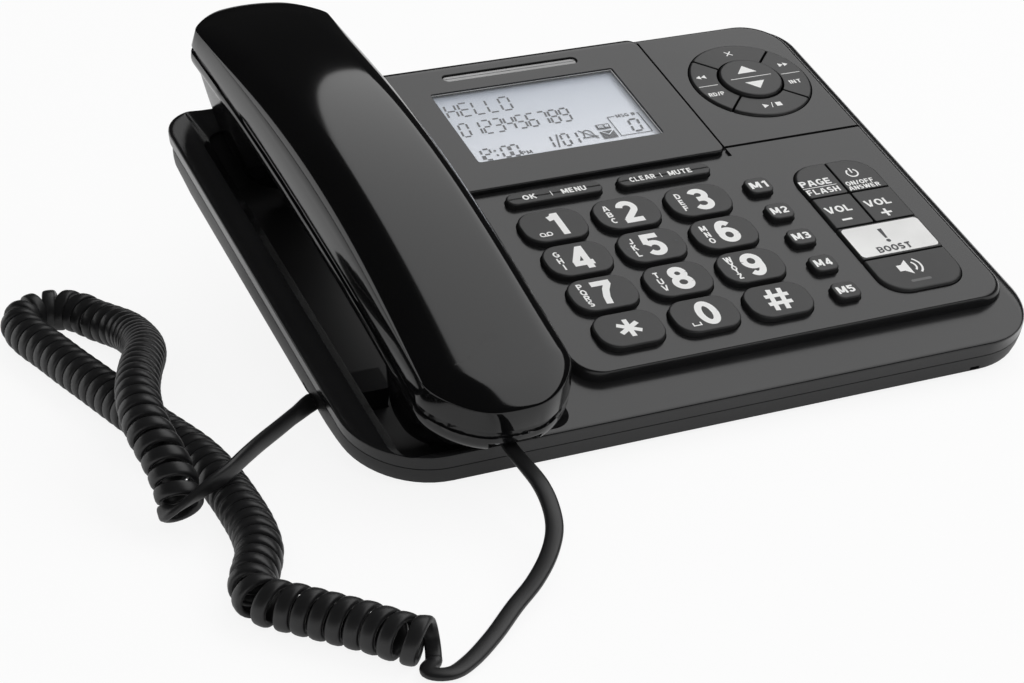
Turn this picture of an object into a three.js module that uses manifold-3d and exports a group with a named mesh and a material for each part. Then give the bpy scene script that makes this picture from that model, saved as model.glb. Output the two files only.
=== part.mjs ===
// A corded desk telephone with large keys, a display, a handset in a cradle and its curly cord.
// Millimetres, +Z up. The origin is on the table, under the middle of the telephone without its cord.
// The body is drawn flat, in the plane of its key plate, and then tipped up at the back.

import * as THREE from 'three';
import { mergeVertices } from 'three/addons/utils/BufferGeometryUtils.js';
import Module from 'manifold-3d';

const wasm = await Module();
wasm.setup();

// Driving sizes: the body
const tilt = THREE.MathUtils.degToRad(17);
const wall = 2.2;
const seamGap = 0.3;
const fitGap = 0.35;
const cutOver = 1;
const tablePlaneFront = -87.5;
const footHeight = 1.6;

const deck = { left: -113, right: 115, front: -89.2, back: 87, z: 10.5 };
const seamSpread = { left: 6, right: 6.5, front: 0.2, back: 5, fall: 4.8 };
const seam = {
  left: deck.left - seamSpread.left,
  right: deck.right + seamSpread.right,
  front: deck.front - seamSpread.front,
  back: deck.back + seamSpread.back,
  z: deck.z - seamSpread.fall,
};
const bodyRadii = { frontRight: 19, backRight: 24, backLeft: 20, frontLeft: 25 };
const pan = { bottom: 0, edge: 1.5 };
const plate = { left: -45, right: 111, front: -72.1, back: 86, z: 14.2, sideFall: 3.2, frontFall: 0.7 };
const plateRadii = { frontRight: 11, backRight: 21, backLeft: 4, frontLeft: 9 };
const belly = { left: -112, right: 113, front: -56, back: 84, drop: 10.5, side: 8, radius: 14 };
const grooveWidth = 0.9;
const grooveDepth = 0.8;
const navGrooveY = 23.9;

// The cradle
const well = { left: -112.7, right: -53.8, front: -87.4, back: 95, floor: 5.2 };
const wellFall = { left: 6.5, right: 6.2, front: 4, back: 13 };
const wellRadii = { frontRight: 7, backRight: 6, backLeft: 6, frontLeft: 7 };

// The display panel and its window
const panel = { left: -44.7, right: 53.6, front: 20.2, back: 86.2, rise: 2, radius: 2.2, fall: 0.5 };
const glass = { x: 3.1, y: 54.45, width: 68, depth: 39.3, thick: 1.4, sunk: 0.4, radius: 0.6 };
const display = { overWidth: 4, overDepth: 5, thick: 4.2 };
const lamp = { x: 2.2, y: 82.2, width: 50.4, depth: 3.3, thick: 1.2, sunk: 0.5 };

// The keys
const digit = { x: -22, y: -2.8, pitchX: 26.4, pitchY: 17.95, width: 21.7, depth: 14.8, radius: 5.8 };
const memory = { x: 54.65, y: -0.66, pitchY: 14.37, width: 9, depth: 7.9, radius: 2.4 };
const soft = { leftX: -14.1, rightX: 26.1, y: 12.8, width: 34.2, depth: 5.6 };
const keyTop = 16.2;
const keySkirt = 0.4;
const keyCrown = 0.9;
const keyFlange = 0.75;
const flangeThick = 1.2;
const keyFoot = 9.9;
const cluster = { x: 84.2, y: -28.6, width: 31, depth: 69.4, radius: 9.2, top: 15.3 };
const clusterSplitX = 83.9;
const clusterSplitsY = [-11.3, -28.1, -45.5];
const splitGap = 0.7;
const dial = { x: 84, y: 57.7, radius: 21.7, inner: 11.9, top: 15, hub: 11.2, hubTop: 16 };

// What lies inside the body
const board = { left: -42, right: 108, front: -69, back: 83, z: 5.3, thick: 1.5, radius: 3 };
const sheet = { left: -36, right: 105, front: -67, back: 18, thick: 1.2, radius: 4 };
const speaker = { x: 52, y: 32, radius: 20, thick: 6.5, magnetShare: 0.55 };
const grille = { count: 7, width: 2, pitch: 4.6, length: 30 };
const plunger = { x: -83.2, y: 62, width: 9, depth: 12, radius: 2, flange: 1.2, travel: 4, flangeThick: 1.2 };
const stem = { radius: 2, length: 1.6 };
const spring = { radius: 3.2, wire: 0.7, turns: 3, steps: 8, sides: 5 };
const socket = { width: 7.9, height: 6, depth: 10, shell: 0.9, back: 2 };
const baseJack = { y: -39.6, z: -4.5, sink: 6 };
const lineJack = { x: 60, width: 12.4, height: 8, depth: 12, shell: 1.1, bore: 8 };
const powerJack = { x: 84, width: 10, height: 7.2, depth: 11, bore: 6, hole: 2.6, pin: 0.9 };
const rearJackZ = -4.4;

// The stand and the feet
const stand = { left: -68, right: 70, front: 12, back: 74, radius: 10, wall: 2.6, taper: 3 };
const frontFoot = { x: 88, y: -74, radius: 7 };
const rearPad = { x: 48, y: 62, width: 26, depth: 10, radius: 4.9 };

// The handset
const hand = { x: -83.2, halfWidth: 24.2, front: -103.5, back: 113.8, seamEnd: 29.3, seamMid: 34.6 };
const handRadius = { front: 18.6, back: 14.4, frontBulge: 5.5, backBulge: 6.9 };
const handBand = { height: 6.1, draft: 0.9 };
const crown = { front: 8, middle: 17.5, back: 5.6, shoulder: 9 };
const handWall = 2;
const grip = { lip: 1.4, groove: 2.2, grooveSink: 0.8, depth: 9, turn: 5.5 };
const ear = { front: 42, bottomFront: 50, bottomBack: 79.5, bottomHalf: 18.5, radius: 12, roundShare: 0.65 };
const mouth = { back: -46, bottomBack: -52, bottomFront: -79.5, bottomHalf: 18, radius: 11, roundShare: 0.8 };
const restGap = 0.4;
const capsule = { radius: 13.2, thick: 5, y: 65 };
const soundHole = { radius: 1.3, ring: 6.5, count: 6 };
const micro = { radius: 4.6, thick: 4.5, y: -68 };
const microSlot = { width: 5, depth: 1.4 };
const handJack = { z: 20.6, face: -93, width: 17, height: 9.5, taper: 2.5 };

// The cord
const cordWidth = 4.4;
const cordThick = 2.3;
const coilRadius = 5.6;
const coilPitch = 5.2;
const leadSides = 8;
const coilSides = 5;
const coilSteps = 8;
const coilTight = 4.75;
const bendShareMax = 0.62;
const leadSteps = { base: 16, hand: 30 };
const joinGap = 0.3;
const plugBody = { width: 7.2, height: 5.3, length: 12, neck: 2.2 };

// The solid kit: rings of points, skins over them, cuts and joins
const cornerSteps = 4;
const sideSteps = 5;
const digitSteps = 3;
const smallSteps = 2;
const dialSteps = 32;

function toSolid(geometry) {
  const merged = geometry.clone();
  merged.deleteAttribute('normal');
  merged.deleteAttribute('uv');
  const clean = mergeVertices(merged, 1e-4);
  return new wasm.Manifold(new wasm.Mesh({
    numProp: 3,
    vertProperties: new Float32Array(clean.attributes.position.array),
    triVerts: new Uint32Array(clean.index.array),
  }));
}

function toGeometry(solid) {
  const mesh = solid.getMesh();
  const geometry = new THREE.BufferGeometry();
  geometry.setAttribute('position', new THREE.BufferAttribute(new Float32Array(mesh.vertProperties), 3));
  geometry.setIndex(new THREE.BufferAttribute(new Uint32Array(mesh.triVerts), 1));
  geometry.computeVertexNormals();
  return geometry;
}

// Rings run the same way round, start at the middle of the front, and have as many points each.
function skin(rings) {
  const count = rings[0].length;
  const positions = rings.flat().flatMap((p) => [p.x, p.y, p.z]);
  const index = [];
  for (let r = 0; r + 1 < rings.length; r++) {
    for (let i = 0; i < count; i++) {
      const a = r * count + i;
      const b = r * count + (i + 1) % count;
      index.push(a, b, b + count, a, b + count, a + count);
    }
  }
  const last = (rings.length - 1) * count;
  for (let i = 0; i < count / 2; i++) {
    const near = i;
    const next = i + 1;
    const farNext = (count - next) % count;
    const far = (count - near) % count;
    if (next !== farNext) {
      index.push(near, farNext, next, last + near, last + next, last + farNext);
    }
    if (near !== far) {
      index.push(near, far, farNext, last + near, last + farNext, last + far);
    }
  }
  const geometry = new THREE.BufferGeometry();
  geometry.setAttribute('position', new THREE.BufferAttribute(new Float32Array(positions), 3));
  geometry.setIndex(index);
  return toSolid(geometry);
}

// A rectangle with a radius of its own at each corner, as an even ring of points.
function rectangleRing(box, radii, z, steps = cornerSteps) {
  const level = typeof z === 'function' ? z : () => z;
  const middle = (box.left + box.right) / 2;
  const half = [];
  const arc = (cx, cy, radius, from) => {
    for (let i = 0; i <= steps; i++) {
      const angle = THREE.MathUtils.degToRad(from + 90 * i / steps);
      half.push([cx + radius * Math.cos(angle), cy + radius * Math.sin(angle)]);
    }
  };
  const r = radii;
  arc(box.right - r.frontRight, box.front + r.frontRight, r.frontRight, -90);
  arc(box.right - r.backRight, box.back - r.backRight, r.backRight, 0);
  const right = half.splice(0);
  arc(box.left + r.backLeft, box.back - r.backLeft, r.backLeft, 90);
  arc(box.left + r.frontLeft, box.front + r.frontLeft, r.frontLeft, 180);
  const outline = [[middle, box.front], ...right, [middle, box.back], ...half];
  return outline.map(([x, y]) => new THREE.Vector3(x, y, level(x, y)));
}

const evenRadii = (r) => ({ frontRight: r, backRight: r, backLeft: r, frontLeft: r });
const shrink = (box, by) => ({
  left: box.left + by, right: box.right - by, front: box.front + by, back: box.back - by,
});
const shrinkRadii = (radii, by) => Object.fromEntries(
  Object.entries(radii).map(([corner, r]) => [corner, Math.max(r - by, r / 8)]),
);
const mixBox = (a, b, t) => Object.fromEntries(
  ['left', 'right', 'front', 'back'].map((side) => [side, a[side] + (b[side] - a[side]) * t]),
);
const boxAround = (x, y, width, depth) => ({
  left: x - width / 2, right: x + width / 2, front: y - depth / 2, back: y + depth / 2,
});

// A block whose edge rolls over from one outline into another, as a quarter of an ellipse.
function rolled(low, high, radii, steps, foot = []) {
  const rings = [...foot];
  for (let i = 0; i <= steps; i++) {
    const angle = Math.PI / 2 * i / steps;
    const box = mixBox(low, high, 1 - Math.cos(angle));
    rings.push(rectangleRing(box, radii, low.z + (high.z - low.z) * Math.sin(angle)));
  }
  return skin(rings);
}

function prism(box, radii, low, high, steps = cornerSteps) {
  return skin([rectangleRing(box, radii, low, steps), rectangleRing(box, radii, high, steps)]);
}

function circleRing(x, y, radius, z, steps = 24) {
  const level = typeof z === 'function' ? z : () => z;
  return Array.from({ length: steps }, (_, i) => {
    const angle = -Math.PI / 2 + 2 * Math.PI * i / steps;
    const px = x + radius * Math.cos(angle);
    const py = y + radius * Math.sin(angle);
    return new THREE.Vector3(px, py, level(px, py));
  });
}

const disc = (x, y, radius, low, high, steps = 24) => skin([
  circleRing(x, y, radius, low, steps), circleRing(x, y, radius, high, steps),
]);

const parts = new THREE.Group();
const tipped = new THREE.Group();
const loose = new THREE.Group();

const finishes = {
  blackGloss: { color: 0x151516, roughness: 0.22, metalness: 0 },
  blackSatin: { color: 0x1d1d1f, roughness: 0.42, metalness: 0 },
  keyCap: { color: 0x29292b, roughness: 0.6, metalness: 0 },
  whiteKey: { color: 0xe9e9e8, roughness: 0.5, metalness: 0 },
  clear: { color: 0xb9c6d6, roughness: 0.1, metalness: 0 },
  smokedLens: { color: 0x6b6c6e, roughness: 0.3, metalness: 0 },
  rubber: { color: 0x101010, roughness: 0.85, metalness: 0 },
  silicone: { color: 0x8b8d90, roughness: 0.8, metalness: 0 },
  circuit: { color: 0x1e5a34, roughness: 0.5, metalness: 0.1 },
  steel: { color: 0xb4b6b8, roughness: 0.35, metalness: 1 },
  cord: { color: 0x161617, roughness: 0.38, metalness: 0 },
};

function add(name, shape, finish, group = tipped) {
  const geometry = shape.isBufferGeometry ? shape : toGeometry(shape);
  const mesh = new THREE.Mesh(geometry, new THREE.MeshStandardMaterial(finishes[finish]));
  mesh.name = name;
  group.add(mesh);
}

// Where the table lies, in the plane of the body
const standHeight = footHeight - tablePlaneFront * Math.sin(tilt);
function tableZ(y, above = 0) {
  return (above - footHeight) / Math.cos(tilt) - (y - tablePlaneFront) * Math.tan(tilt);
}

// Body, upper shell: skirt, raised plate, cradle well and the holes of the keys
const plateFloor = { ...plate, z: deck.z - wall / 2 };
const plateTop = {
  left: plate.left + plate.frontFall,
  right: plate.right - plate.sideFall,
  front: plate.front + plate.frontFall,
  back: plate.back - plate.sideFall,
  z: plate.z,
};
const wellTop = { left: well.left, right: well.right, front: well.front, back: well.back };
const wellFloor = {
  left: well.left + wellFall.left,
  right: well.right - wellFall.right,
  front: well.front + wellFall.front,
  back: well.back - wellFall.back,
};
function hole(box, radius, steps, low = deck.z - wall - cutOver, high = plate.z + cutOver) {
  return prism(shrink(box, -fitGap), evenRadii(radius + fitGap), low, high, steps);
}

function wellSolid(grow) {
  const rise = (deck.z - well.floor) * 1.5;
  const share = rise / (deck.z - well.floor);
  const wide = mixBox(wellFloor, wellTop, share);
  return skin([
    rectangleRing(shrink(wellFloor, -grow), wellRadii, well.floor - grow),
    rectangleRing(shrink(wide, -grow), wellRadii, well.floor + rise),
  ]);
}

function digitBoxes() {
  const names = ['1', '2', '3', '4', '5', '6', '7', '8', '9', 'star', '0', 'hash'];
  return names.map((name, i) => ({
    name: `key_${name}`,
    box: boxAround(
      digit.x + digit.pitchX * (i % 3), digit.y - digit.pitchY * Math.floor(i / 3),
      digit.width + 2 * keySkirt, digit.depth + 2 * keySkirt,
    ),
    radius: digit.radius + keySkirt,
    steps: digitSteps,
  }));
}

function memoryBoxes() {
  return [1, 2, 3, 4, 5].map((n) => ({
    name: `memory_key_${n}`,
    box: boxAround(memory.x, memory.y - memory.pitchY * (n - 1), memory.width, memory.depth),
    radius: memory.radius,
    steps: smallSteps,
  }));
}

function softBoxes() {
  return ['left', 'right'].map((side) => ({
    name: `soft_key_${side}`,
    box: boxAround(side === 'left' ? soft.leftX : soft.rightX, soft.y, soft.width, soft.depth),
    radius: soft.depth / 2 - keySkirt / 2,
    steps: smallSteps,
  }));
}

const loneKeys = [...digitBoxes(), ...memoryBoxes(), ...softBoxes()];
const clusterBox = boxAround(cluster.x, cluster.y, cluster.width, cluster.depth);
const glassBox = boxAround(glass.x, glass.y, glass.width, glass.depth);
const moduleBox = boxAround(
  glass.x, glass.y, glass.width + display.overWidth, glass.depth + display.overDepth,
);
const lampBox = boxAround(lamp.x, lamp.y, lamp.width, lamp.depth);

function upperShell() {
  const high = { ...deck };
  const low = { ...seam };
  const skirt = rolled(low, high, bodyRadii, 5);
  const raised = rolled(plateFloor, plateTop, plateRadii, 3);
  const inside = skin([
    rectangleRing(shrink(seam, wall), shrinkRadii(bodyRadii, wall), seam.z - cutOver),
    rectangleRing(shrink(mixBox(seam, deck, 0.4), wall), shrinkRadii(bodyRadii, wall), deck.z - wall),
  ]);
  const underPlate = prism(
    shrink(plateTop, wall), shrinkRadii(plateRadii, wall), deck.z - wall - cutOver, plate.z - wall,
  );
  const hollow = inside.add(underPlate).subtract(wellSolid(wall));
  let shell = skirt.add(raised).subtract(hollow).subtract(wellSolid(0));
  for (const key of loneKeys) {
    shell = shell.subtract(hole(key.box, key.radius, key.steps));
  }
  shell = shell.subtract(hole(clusterBox, cluster.radius, digitSteps));
  shell = shell.subtract(disc(
    dial.x, dial.y, dial.radius + fitGap, deck.z - wall - cutOver, plate.z + cutOver, dialSteps,
  ));
  shell = shell.subtract(hole(moduleBox, glass.radius, 1));
  const groove = boxAround(
    (panel.right + plate.right) / 2, navGrooveY, plate.right - panel.right, grooveWidth,
  );
  const grooveLow = plate.z - grooveDepth;
  shell = shell.subtract(prism(groove, evenRadii(grooveWidth / 8), grooveLow, plate.z + cutOver, 1));
  const plungerHole = boxAround(plunger.x, plunger.y, plunger.width, plunger.depth);
  const below = well.floor - wall - cutOver;
  shell = shell.subtract(hole(plungerHole, plunger.radius, smallSteps, below, well.floor + cutOver));
  return shell;
}

add('base_upper_shell', upperShell(), 'blackSatin');

// Body, lower shell: a shallow pan with a deeper belly, sockets and the slots of the loudspeaker
const bellyTop = { left: belly.left, right: belly.right, front: belly.front, back: belly.back };
const bellyLow = shrink(bellyTop, belly.side);
const bellyFloorZ = pan.bottom - belly.drop;
const panRim = seam.z - seamGap;

function lowerShell() {
  const rim = { ...seam };
  const outer = skin([
    rectangleRing(shrink(rim, pan.edge), bodyRadii, pan.bottom),
    rectangleRing(rim, bodyRadii, pan.bottom + pan.edge),
    rectangleRing(rim, bodyRadii, panRim),
  ]);
  const tub = (by, low, high) => skin([
    rectangleRing(shrink(bellyLow, by), evenRadii(belly.radius - by), low),
    rectangleRing(shrink(bellyTop, by), evenRadii(belly.radius - by), high),
  ]);
  const inner = prism(shrink(rim, wall), shrinkRadii(bodyRadii, wall), pan.bottom + wall, panRim + cutOver);
  const hollow = inner.add(tub(wall, bellyFloorZ + wall, pan.bottom + wall + cutOver));
  let shell = outer.add(tub(0, bellyFloorZ, pan.bottom + wall / 2)).subtract(hollow);
  const pocket = (x0, x1, y0, y1, z, height) => prism(
    { left: x0, right: x1, front: y0, back: y1 }, evenRadii(wall / 8), z - height / 2, z + height / 2, 1,
  );
  const jackHalf = socket.width / 2 + socket.shell + fitGap;
  const jackTall = socket.height + 2 * socket.shell + 2 * fitGap;
  const jackReach = belly.left + baseJack.sink + socket.depth + socket.back + fitGap;
  shell = shell.subtract(pocket(
    seam.left - cutOver, jackReach, baseJack.y - jackHalf, baseJack.y + jackHalf, baseJack.z, jackTall,
  ));
  for (const jack of [lineJack, powerJack]) {
    const half = jack.width / 2 + fitGap;
    shell = shell.subtract(pocket(
      jack.x - half, jack.x + half, belly.back - belly.side - jack.depth - fitGap, seam.back + cutOver,
      rearJackZ, jack.height + 2 * fitGap,
    ));
  }
  for (let i = 0; i < grille.count; i++) {
    const y = speaker.y + grille.pitch * (i - (grille.count - 1) / 2);
    const slot = boxAround(speaker.x, y, grille.length, grille.width);
    const radii = evenRadii(grille.width / 3);
    const cutter = prism(slot, radii, bellyFloorZ - cutOver, bellyFloorZ + wall + cutOver, 1);
    shell = shell.subtract(cutter);
  }
  return shell;
}

add('base_lower_shell', lowerShell(), 'blackSatin');

// Display panel, window, display module and the message lamp's lens
const panelBox = { left: panel.left, right: panel.right, front: panel.front, back: panel.back };
const panelTopZ = plate.z + panel.rise;

function displayPanel() {
  const low = { ...panelBox, z: panelTopZ - panel.fall };
  const high = { ...shrink(panelBox, panel.fall), z: panelTopZ };
  const radii = evenRadii(panel.radius);
  const foot = [rectangleRing(panelBox, radii, plate.z + seamGap)];
  let slab = rolled(low, high, radii, 2, foot);
  const bottom = plate.z - cutOver;
  const top = panelTopZ + cutOver;
  slab = slab.subtract(prism(shrink(glassBox, -fitGap), evenRadii(glass.radius), bottom, top, 2));
  return slab.subtract(prism(shrink(lampBox, -fitGap), evenRadii(lamp.depth / 2), bottom, top));
}

add('display_panel', displayPanel(), 'blackGloss');
const glassTop = panelTopZ - glass.sunk;
add('display_window', prism(glassBox, evenRadii(glass.radius), glassTop - glass.thick, glassTop, 2), 'clear');
const moduleTop = glassTop - glass.thick - seamGap;
const moduleLow = moduleTop - display.thick;
add('display_module', prism(moduleBox, evenRadii(glass.radius), moduleLow, moduleTop, 2), 'circuit');
const lampTop = panelTopZ - lamp.sunk;
const lampSolid = prism(lampBox, evenRadii(lamp.depth / 2 - fitGap), lampTop - lamp.thick, lampTop);
add('message_lamp_lens', lampSolid, 'smokedLens');

// Keys that stand alone: a foot flange under the plate, a skirt and a rolled top
function loneKey(key) {
  const inner = shrink(key.box, keySkirt);
  const flange = shrink(key.box, -keyFlange);
  const radii = evenRadii(key.radius);
  const topBox = shrink(inner, keySkirt);
  const innerRadii = shrinkRadii(radii, keySkirt);
  const topRadii = shrinkRadii(radii, 2 * keySkirt);
  return skin([
    rectangleRing(flange, radii, keyFoot, key.steps),
    rectangleRing(flange, radii, keyFoot + flangeThick, key.steps),
    rectangleRing(key.box, radii, keyFoot + flangeThick, key.steps),
    rectangleRing(key.box, radii, plate.z, key.steps),
    rectangleRing(inner, innerRadii, keyTop - keyCrown / 2, key.steps),
    rectangleRing(topBox, topRadii, keyTop, key.steps),
  ]);
}

for (const key of loneKeys) {
  add(key.name, loneKey(key), 'keyCap');
}

// The cluster of six keys: one rounded block, split
function clusterKeys() {
  const low = { ...clusterBox, z: cluster.top - keyCrown };
  const high = { ...shrink(clusterBox, keyCrown), z: cluster.top };
  const radii = evenRadii(cluster.radius);
  const block = rolled(low, high, radii, 2, [rectangleRing(clusterBox, radii, keyFoot)]);
  const [first, second, third] = clusterSplitsY;
  const half = splitGap / 2;
  const edge = { left: clusterBox.left - cutOver, right: clusterBox.right + cutOver };
  const rows = { front: clusterBox.front - cutOver, back: clusterBox.back + cutOver };
  const cells = {
    page_flash_key: { left: edge.left, right: clusterSplitX - half, front: first + half, back: rows.back },
    answer_key: { left: clusterSplitX + half, right: edge.right, front: first + half, back: rows.back },
    volume_down_key: {
      left: edge.left, right: clusterSplitX - half, front: second + half, back: first - half,
    },
    volume_up_key: {
      left: clusterSplitX + half, right: edge.right, front: second + half, back: first - half,
    },
    boost_key: { left: edge.left, right: edge.right, front: third + half, back: second - half },
    speaker_key: { left: edge.left, right: edge.right, front: rows.front, back: third - half },
  };
  for (const [name, cell] of Object.entries(cells)) {
    const cutter = prism(cell, evenRadii(splitGap / 4), keyFoot - cutOver, cluster.top + cutOver, 1);
    add(name, block.intersect(cutter), name === 'boost_key' ? 'whiteKey' : 'keyCap');
  }
}

clusterKeys();

// The dial: a ring in four keys round a rocker, parted along the diagonals
function dialKeys() {
  const ring = skin([
    circleRing(dial.x, dial.y, dial.radius, keyFoot, dialSteps),
    circleRing(dial.x, dial.y, dial.radius, dial.top - keyCrown, dialSteps),
    circleRing(dial.x, dial.y, dial.radius - keyCrown, dial.top, dialSteps),
  ]).subtract(disc(dial.x, dial.y, dial.inner, keyFoot - cutOver, dial.top + cutOver, dialSteps));
  const names = ['ring_key_forward', 'ring_key_delete', 'ring_key_back', 'ring_key_play'];
  const reach = dial.radius * 2;
  const polar = (length, angle) => new THREE.Vector2(length * Math.cos(angle), length * Math.sin(angle));
  names.forEach((name, i) => {
    const angle = i * Math.PI / 2;
    const apex = polar(splitGap * Math.SQRT1_2, angle);
    const shape = new THREE.Shape([
      apex,
      polar(reach, angle - Math.PI / 4).add(apex),
      polar(2 * reach, angle),
      polar(reach, angle + Math.PI / 4).add(apex),
    ]);
    const depth = dial.top - keyFoot + 2 * cutOver;
    const wedge = new THREE.ExtrudeGeometry(shape, { depth, bevelEnabled: false });
    wedge.translate(dial.x, dial.y, keyFoot - cutOver);
    add(name, ring.intersect(toSolid(wedge)), 'keyCap');
  });
  add('nav_rocker', skin([
    circleRing(dial.x, dial.y, dial.hub, keyFoot, dialSteps),
    circleRing(dial.x, dial.y, dial.hub, dial.hubTop - keyCrown, dialSteps),
    circleRing(dial.x, dial.y, dial.hub - keyCrown, dial.hubTop, dialSteps),
  ]), 'keyCap');
}

dialKeys();

// Inside the body: circuit board, keypad sheet, loudspeaker, hook plunger and its spring
add('main_board', prism(board, evenRadii(board.radius), board.z, board.z + board.thick, 2), 'circuit');
const sheetLow = board.z + board.thick + seamGap;
add('keypad_sheet', prism(sheet, evenRadii(sheet.radius), sheetLow, sheetLow + sheet.thick, 2), 'silicone');
const speakerLow = bellyFloorZ + wall + seamGap;
add('loudspeaker', skin([
  circleRing(speaker.x, speaker.y, speaker.radius, speakerLow),
  circleRing(speaker.x, speaker.y, speaker.radius, speakerLow + speaker.thick / 2),
  circleRing(speaker.x, speaker.y, speaker.radius * speaker.magnetShare, speakerLow + speaker.thick / 2),
  circleRing(speaker.x, speaker.y, speaker.radius * speaker.magnetShare, speakerLow + speaker.thick),
]), 'steel');

const flangeTop = well.floor - wall - seamGap - plunger.travel;
const springTop = flangeTop - plunger.flangeThick;

function hookPlunger() {
  const box = boxAround(plunger.x, plunger.y, plunger.width, plunger.depth);
  const ring = (outline, z) => rectangleRing(outline, evenRadii(plunger.radius), z, smallSteps);
  const flange = shrink(box, -plunger.flange);
  const body = skin([
    ring(flange, springTop), ring(flange, flangeTop), ring(box, flangeTop),
    ring(box, well.floor - keyCrown / 2), ring(shrink(box, keyCrown / 2), well.floor),
  ]);
  return body.add(disc(plunger.x, plunger.y, stem.radius, springTop - stem.length, flangeTop, 8));
}

add('hook_plunger', hookPlunger(), 'blackSatin');

// A tube carried along points, each with two directions across it. Its section is a flat oval.
function tube(stations, halfWide, halfThick, sides) {
  const positions = [];
  const index = [];
  for (const { at, wide, thick } of stations) {
    for (let i = 0; i < sides; i++) {
      const angle = 2 * Math.PI * i / sides;
      const p = at.clone()
        .addScaledVector(wide, halfWide * Math.cos(angle))
        .addScaledVector(thick, halfThick * Math.sin(angle));
      positions.push(p.x, p.y, p.z);
    }
  }
  for (let s = 0; s + 1 < stations.length; s++) {
    for (let i = 0; i < sides; i++) {
      const a = s * sides + i;
      const b = s * sides + (i + 1) % sides;
      index.push(a, b, b + sides, a, b + sides, a + sides);
    }
  }
  const last = (stations.length - 1) * sides;
  for (let i = 1; i + 1 < sides; i++) {
    index.push(0, i + 1, i, last, last + i, last + i + 1);
  }
  const geometry = new THREE.BufferGeometry();
  geometry.setAttribute('position', new THREE.BufferAttribute(new Float32Array(positions), 3));
  geometry.setIndex(index);
  geometry.computeVertexNormals();
  return geometry;
}

function hookSpring() {
  const low = bellyFloorZ + wall + seamGap + spring.wire / 2;
  const high = springTop - seamGap - spring.wire / 2;
  const count = spring.turns * spring.steps;
  const stations = Array.from({ length: count + 1 }, (_, i) => {
    const angle = 2 * Math.PI * i / spring.steps;
    const out = new THREE.Vector3(Math.cos(angle), Math.sin(angle), 0);
    const at = new THREE.Vector3(plunger.x, plunger.y, low + (high - low) * i / count)
      .addScaledVector(out, spring.radius);
    return { at, wide: new THREE.Vector3(0, 0, 1), thick: out };
  });
  return toSolid(tube(stations, spring.wire / 2, spring.wire / 2, spring.sides));
}

add('hook_spring', hookSpring(), 'steel');

// Sockets: the cord's on the left, the line's and the power supply's at the back
function baseSocket() {
  const half = socket.width / 2 + socket.shell;
  const front = belly.left + baseJack.sink;
  const body = {
    left: front, right: front + socket.depth + socket.back,
    front: baseJack.y - half, back: baseJack.y + half,
  };
  const tall = socket.height / 2 + socket.shell;
  const bore = {
    left: front - cutOver, right: front + socket.depth,
    front: baseJack.y - socket.width / 2, back: baseJack.y + socket.width / 2,
  };
  const radii = evenRadii(socket.shell / 4);
  return prism(body, radii, baseJack.z - tall, baseJack.z + tall, 1)
    .subtract(prism(bore, radii, baseJack.z - socket.height / 2, baseJack.z + socket.height / 2, 1));
}

add('base_cord_socket', baseSocket(), 'blackSatin');

function rearSocket(jack) {
  const back = belly.back - belly.side;
  const body = {
    left: jack.x - jack.width / 2, right: jack.x + jack.width / 2, front: back - jack.depth, back,
  };
  return prism(body, evenRadii(wall / 8), rearJackZ - jack.height / 2, rearJackZ + jack.height / 2, 1);
}

function lineSocket() {
  const back = belly.back - belly.side;
  const half = lineJack.width / 2 - lineJack.shell;
  const bore = {
    left: lineJack.x - half, right: lineJack.x + half, front: back - lineJack.bore, back: back + cutOver,
  };
  const tall = lineJack.height / 2 - lineJack.shell;
  const hollow = prism(bore, evenRadii(wall / 8), rearJackZ - tall, rearJackZ + tall, 1);
  return rearSocket(lineJack).subtract(hollow);
}

function powerSocket() {
  const back = belly.back - belly.side;
  const lying = (radius, from, to) => disc(0, 0, radius, from, to, 16)
    .rotate([90, 0, 0]).translate([powerJack.x, 0, rearJackZ]);
  const bore = lying(powerJack.hole, -back - cutOver, -back + powerJack.bore);
  const pin = lying(powerJack.pin, -back + wall / 2, -back + powerJack.bore + cutOver);
  return rearSocket(powerJack).subtract(bore).add(pin);
}

add('line_socket', lineSocket(), 'blackSatin');
add('power_socket', powerSocket(), 'blackSatin');

// The stand under the back, an open frame cut off at the table, and the rubber feet
function standFrame() {
  const high = { left: stand.left, right: stand.right, front: stand.front, back: stand.back };
  const low = shrink(high, stand.taper);
  const top = bellyFloorZ - seamGap;
  const foot = (x, y) => tableZ(y, footHeight);
  const frame = (by, below, above) => skin([
    rectangleRing(shrink(low, by), evenRadii(stand.radius - by), (x, y) => foot(x, y) - below),
    rectangleRing(shrink(high, by), evenRadii(stand.radius - by), top + above),
  ]);
  const ledgeBox = { ...high, front: high.back - rearPad.depth - 2 * stand.wall };
  const ledge = skin([
    rectangleRing(ledgeBox, evenRadii(wall / 8), (x, y) => tableZ(y, footHeight) - 2 * cutOver, 1),
    rectangleRing(ledgeBox, evenRadii(wall / 8), (x, y) => tableZ(y, footHeight + stand.wall), 1),
  ]);
  return frame(0, 0, 0).subtract(frame(stand.wall, cutOver, cutOver).subtract(ledge));
}

add('desk_stand', standFrame(), 'blackSatin');

for (const [side, sign] of [['left', -1], ['right', 1]]) {
  const x = seamMiddleX() + sign * frontFoot.x;
  add(`front_foot_${side}`, skin([
    circleRing(x, frontFoot.y, frontFoot.radius, (px, py) => tableZ(py), 16),
    circleRing(x, frontFoot.y, frontFoot.radius, pan.bottom - seamGap, 16),
  ]), 'rubber');
  const padX = (stand.left + stand.right) / 2 + sign * rearPad.x;
  const pad = boxAround(padX, stand.back - stand.taper - rearPad.depth / 2, rearPad.width, rearPad.depth);
  add(`stand_foot_${side}`, skin([
    rectangleRing(pad, evenRadii(rearPad.radius), (px, py) => tableZ(py), 3),
    rectangleRing(pad, evenRadii(rearPad.radius), (px, py) => tableZ(py, footHeight - seamGap), 3),
  ]), 'rubber');
}

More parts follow.
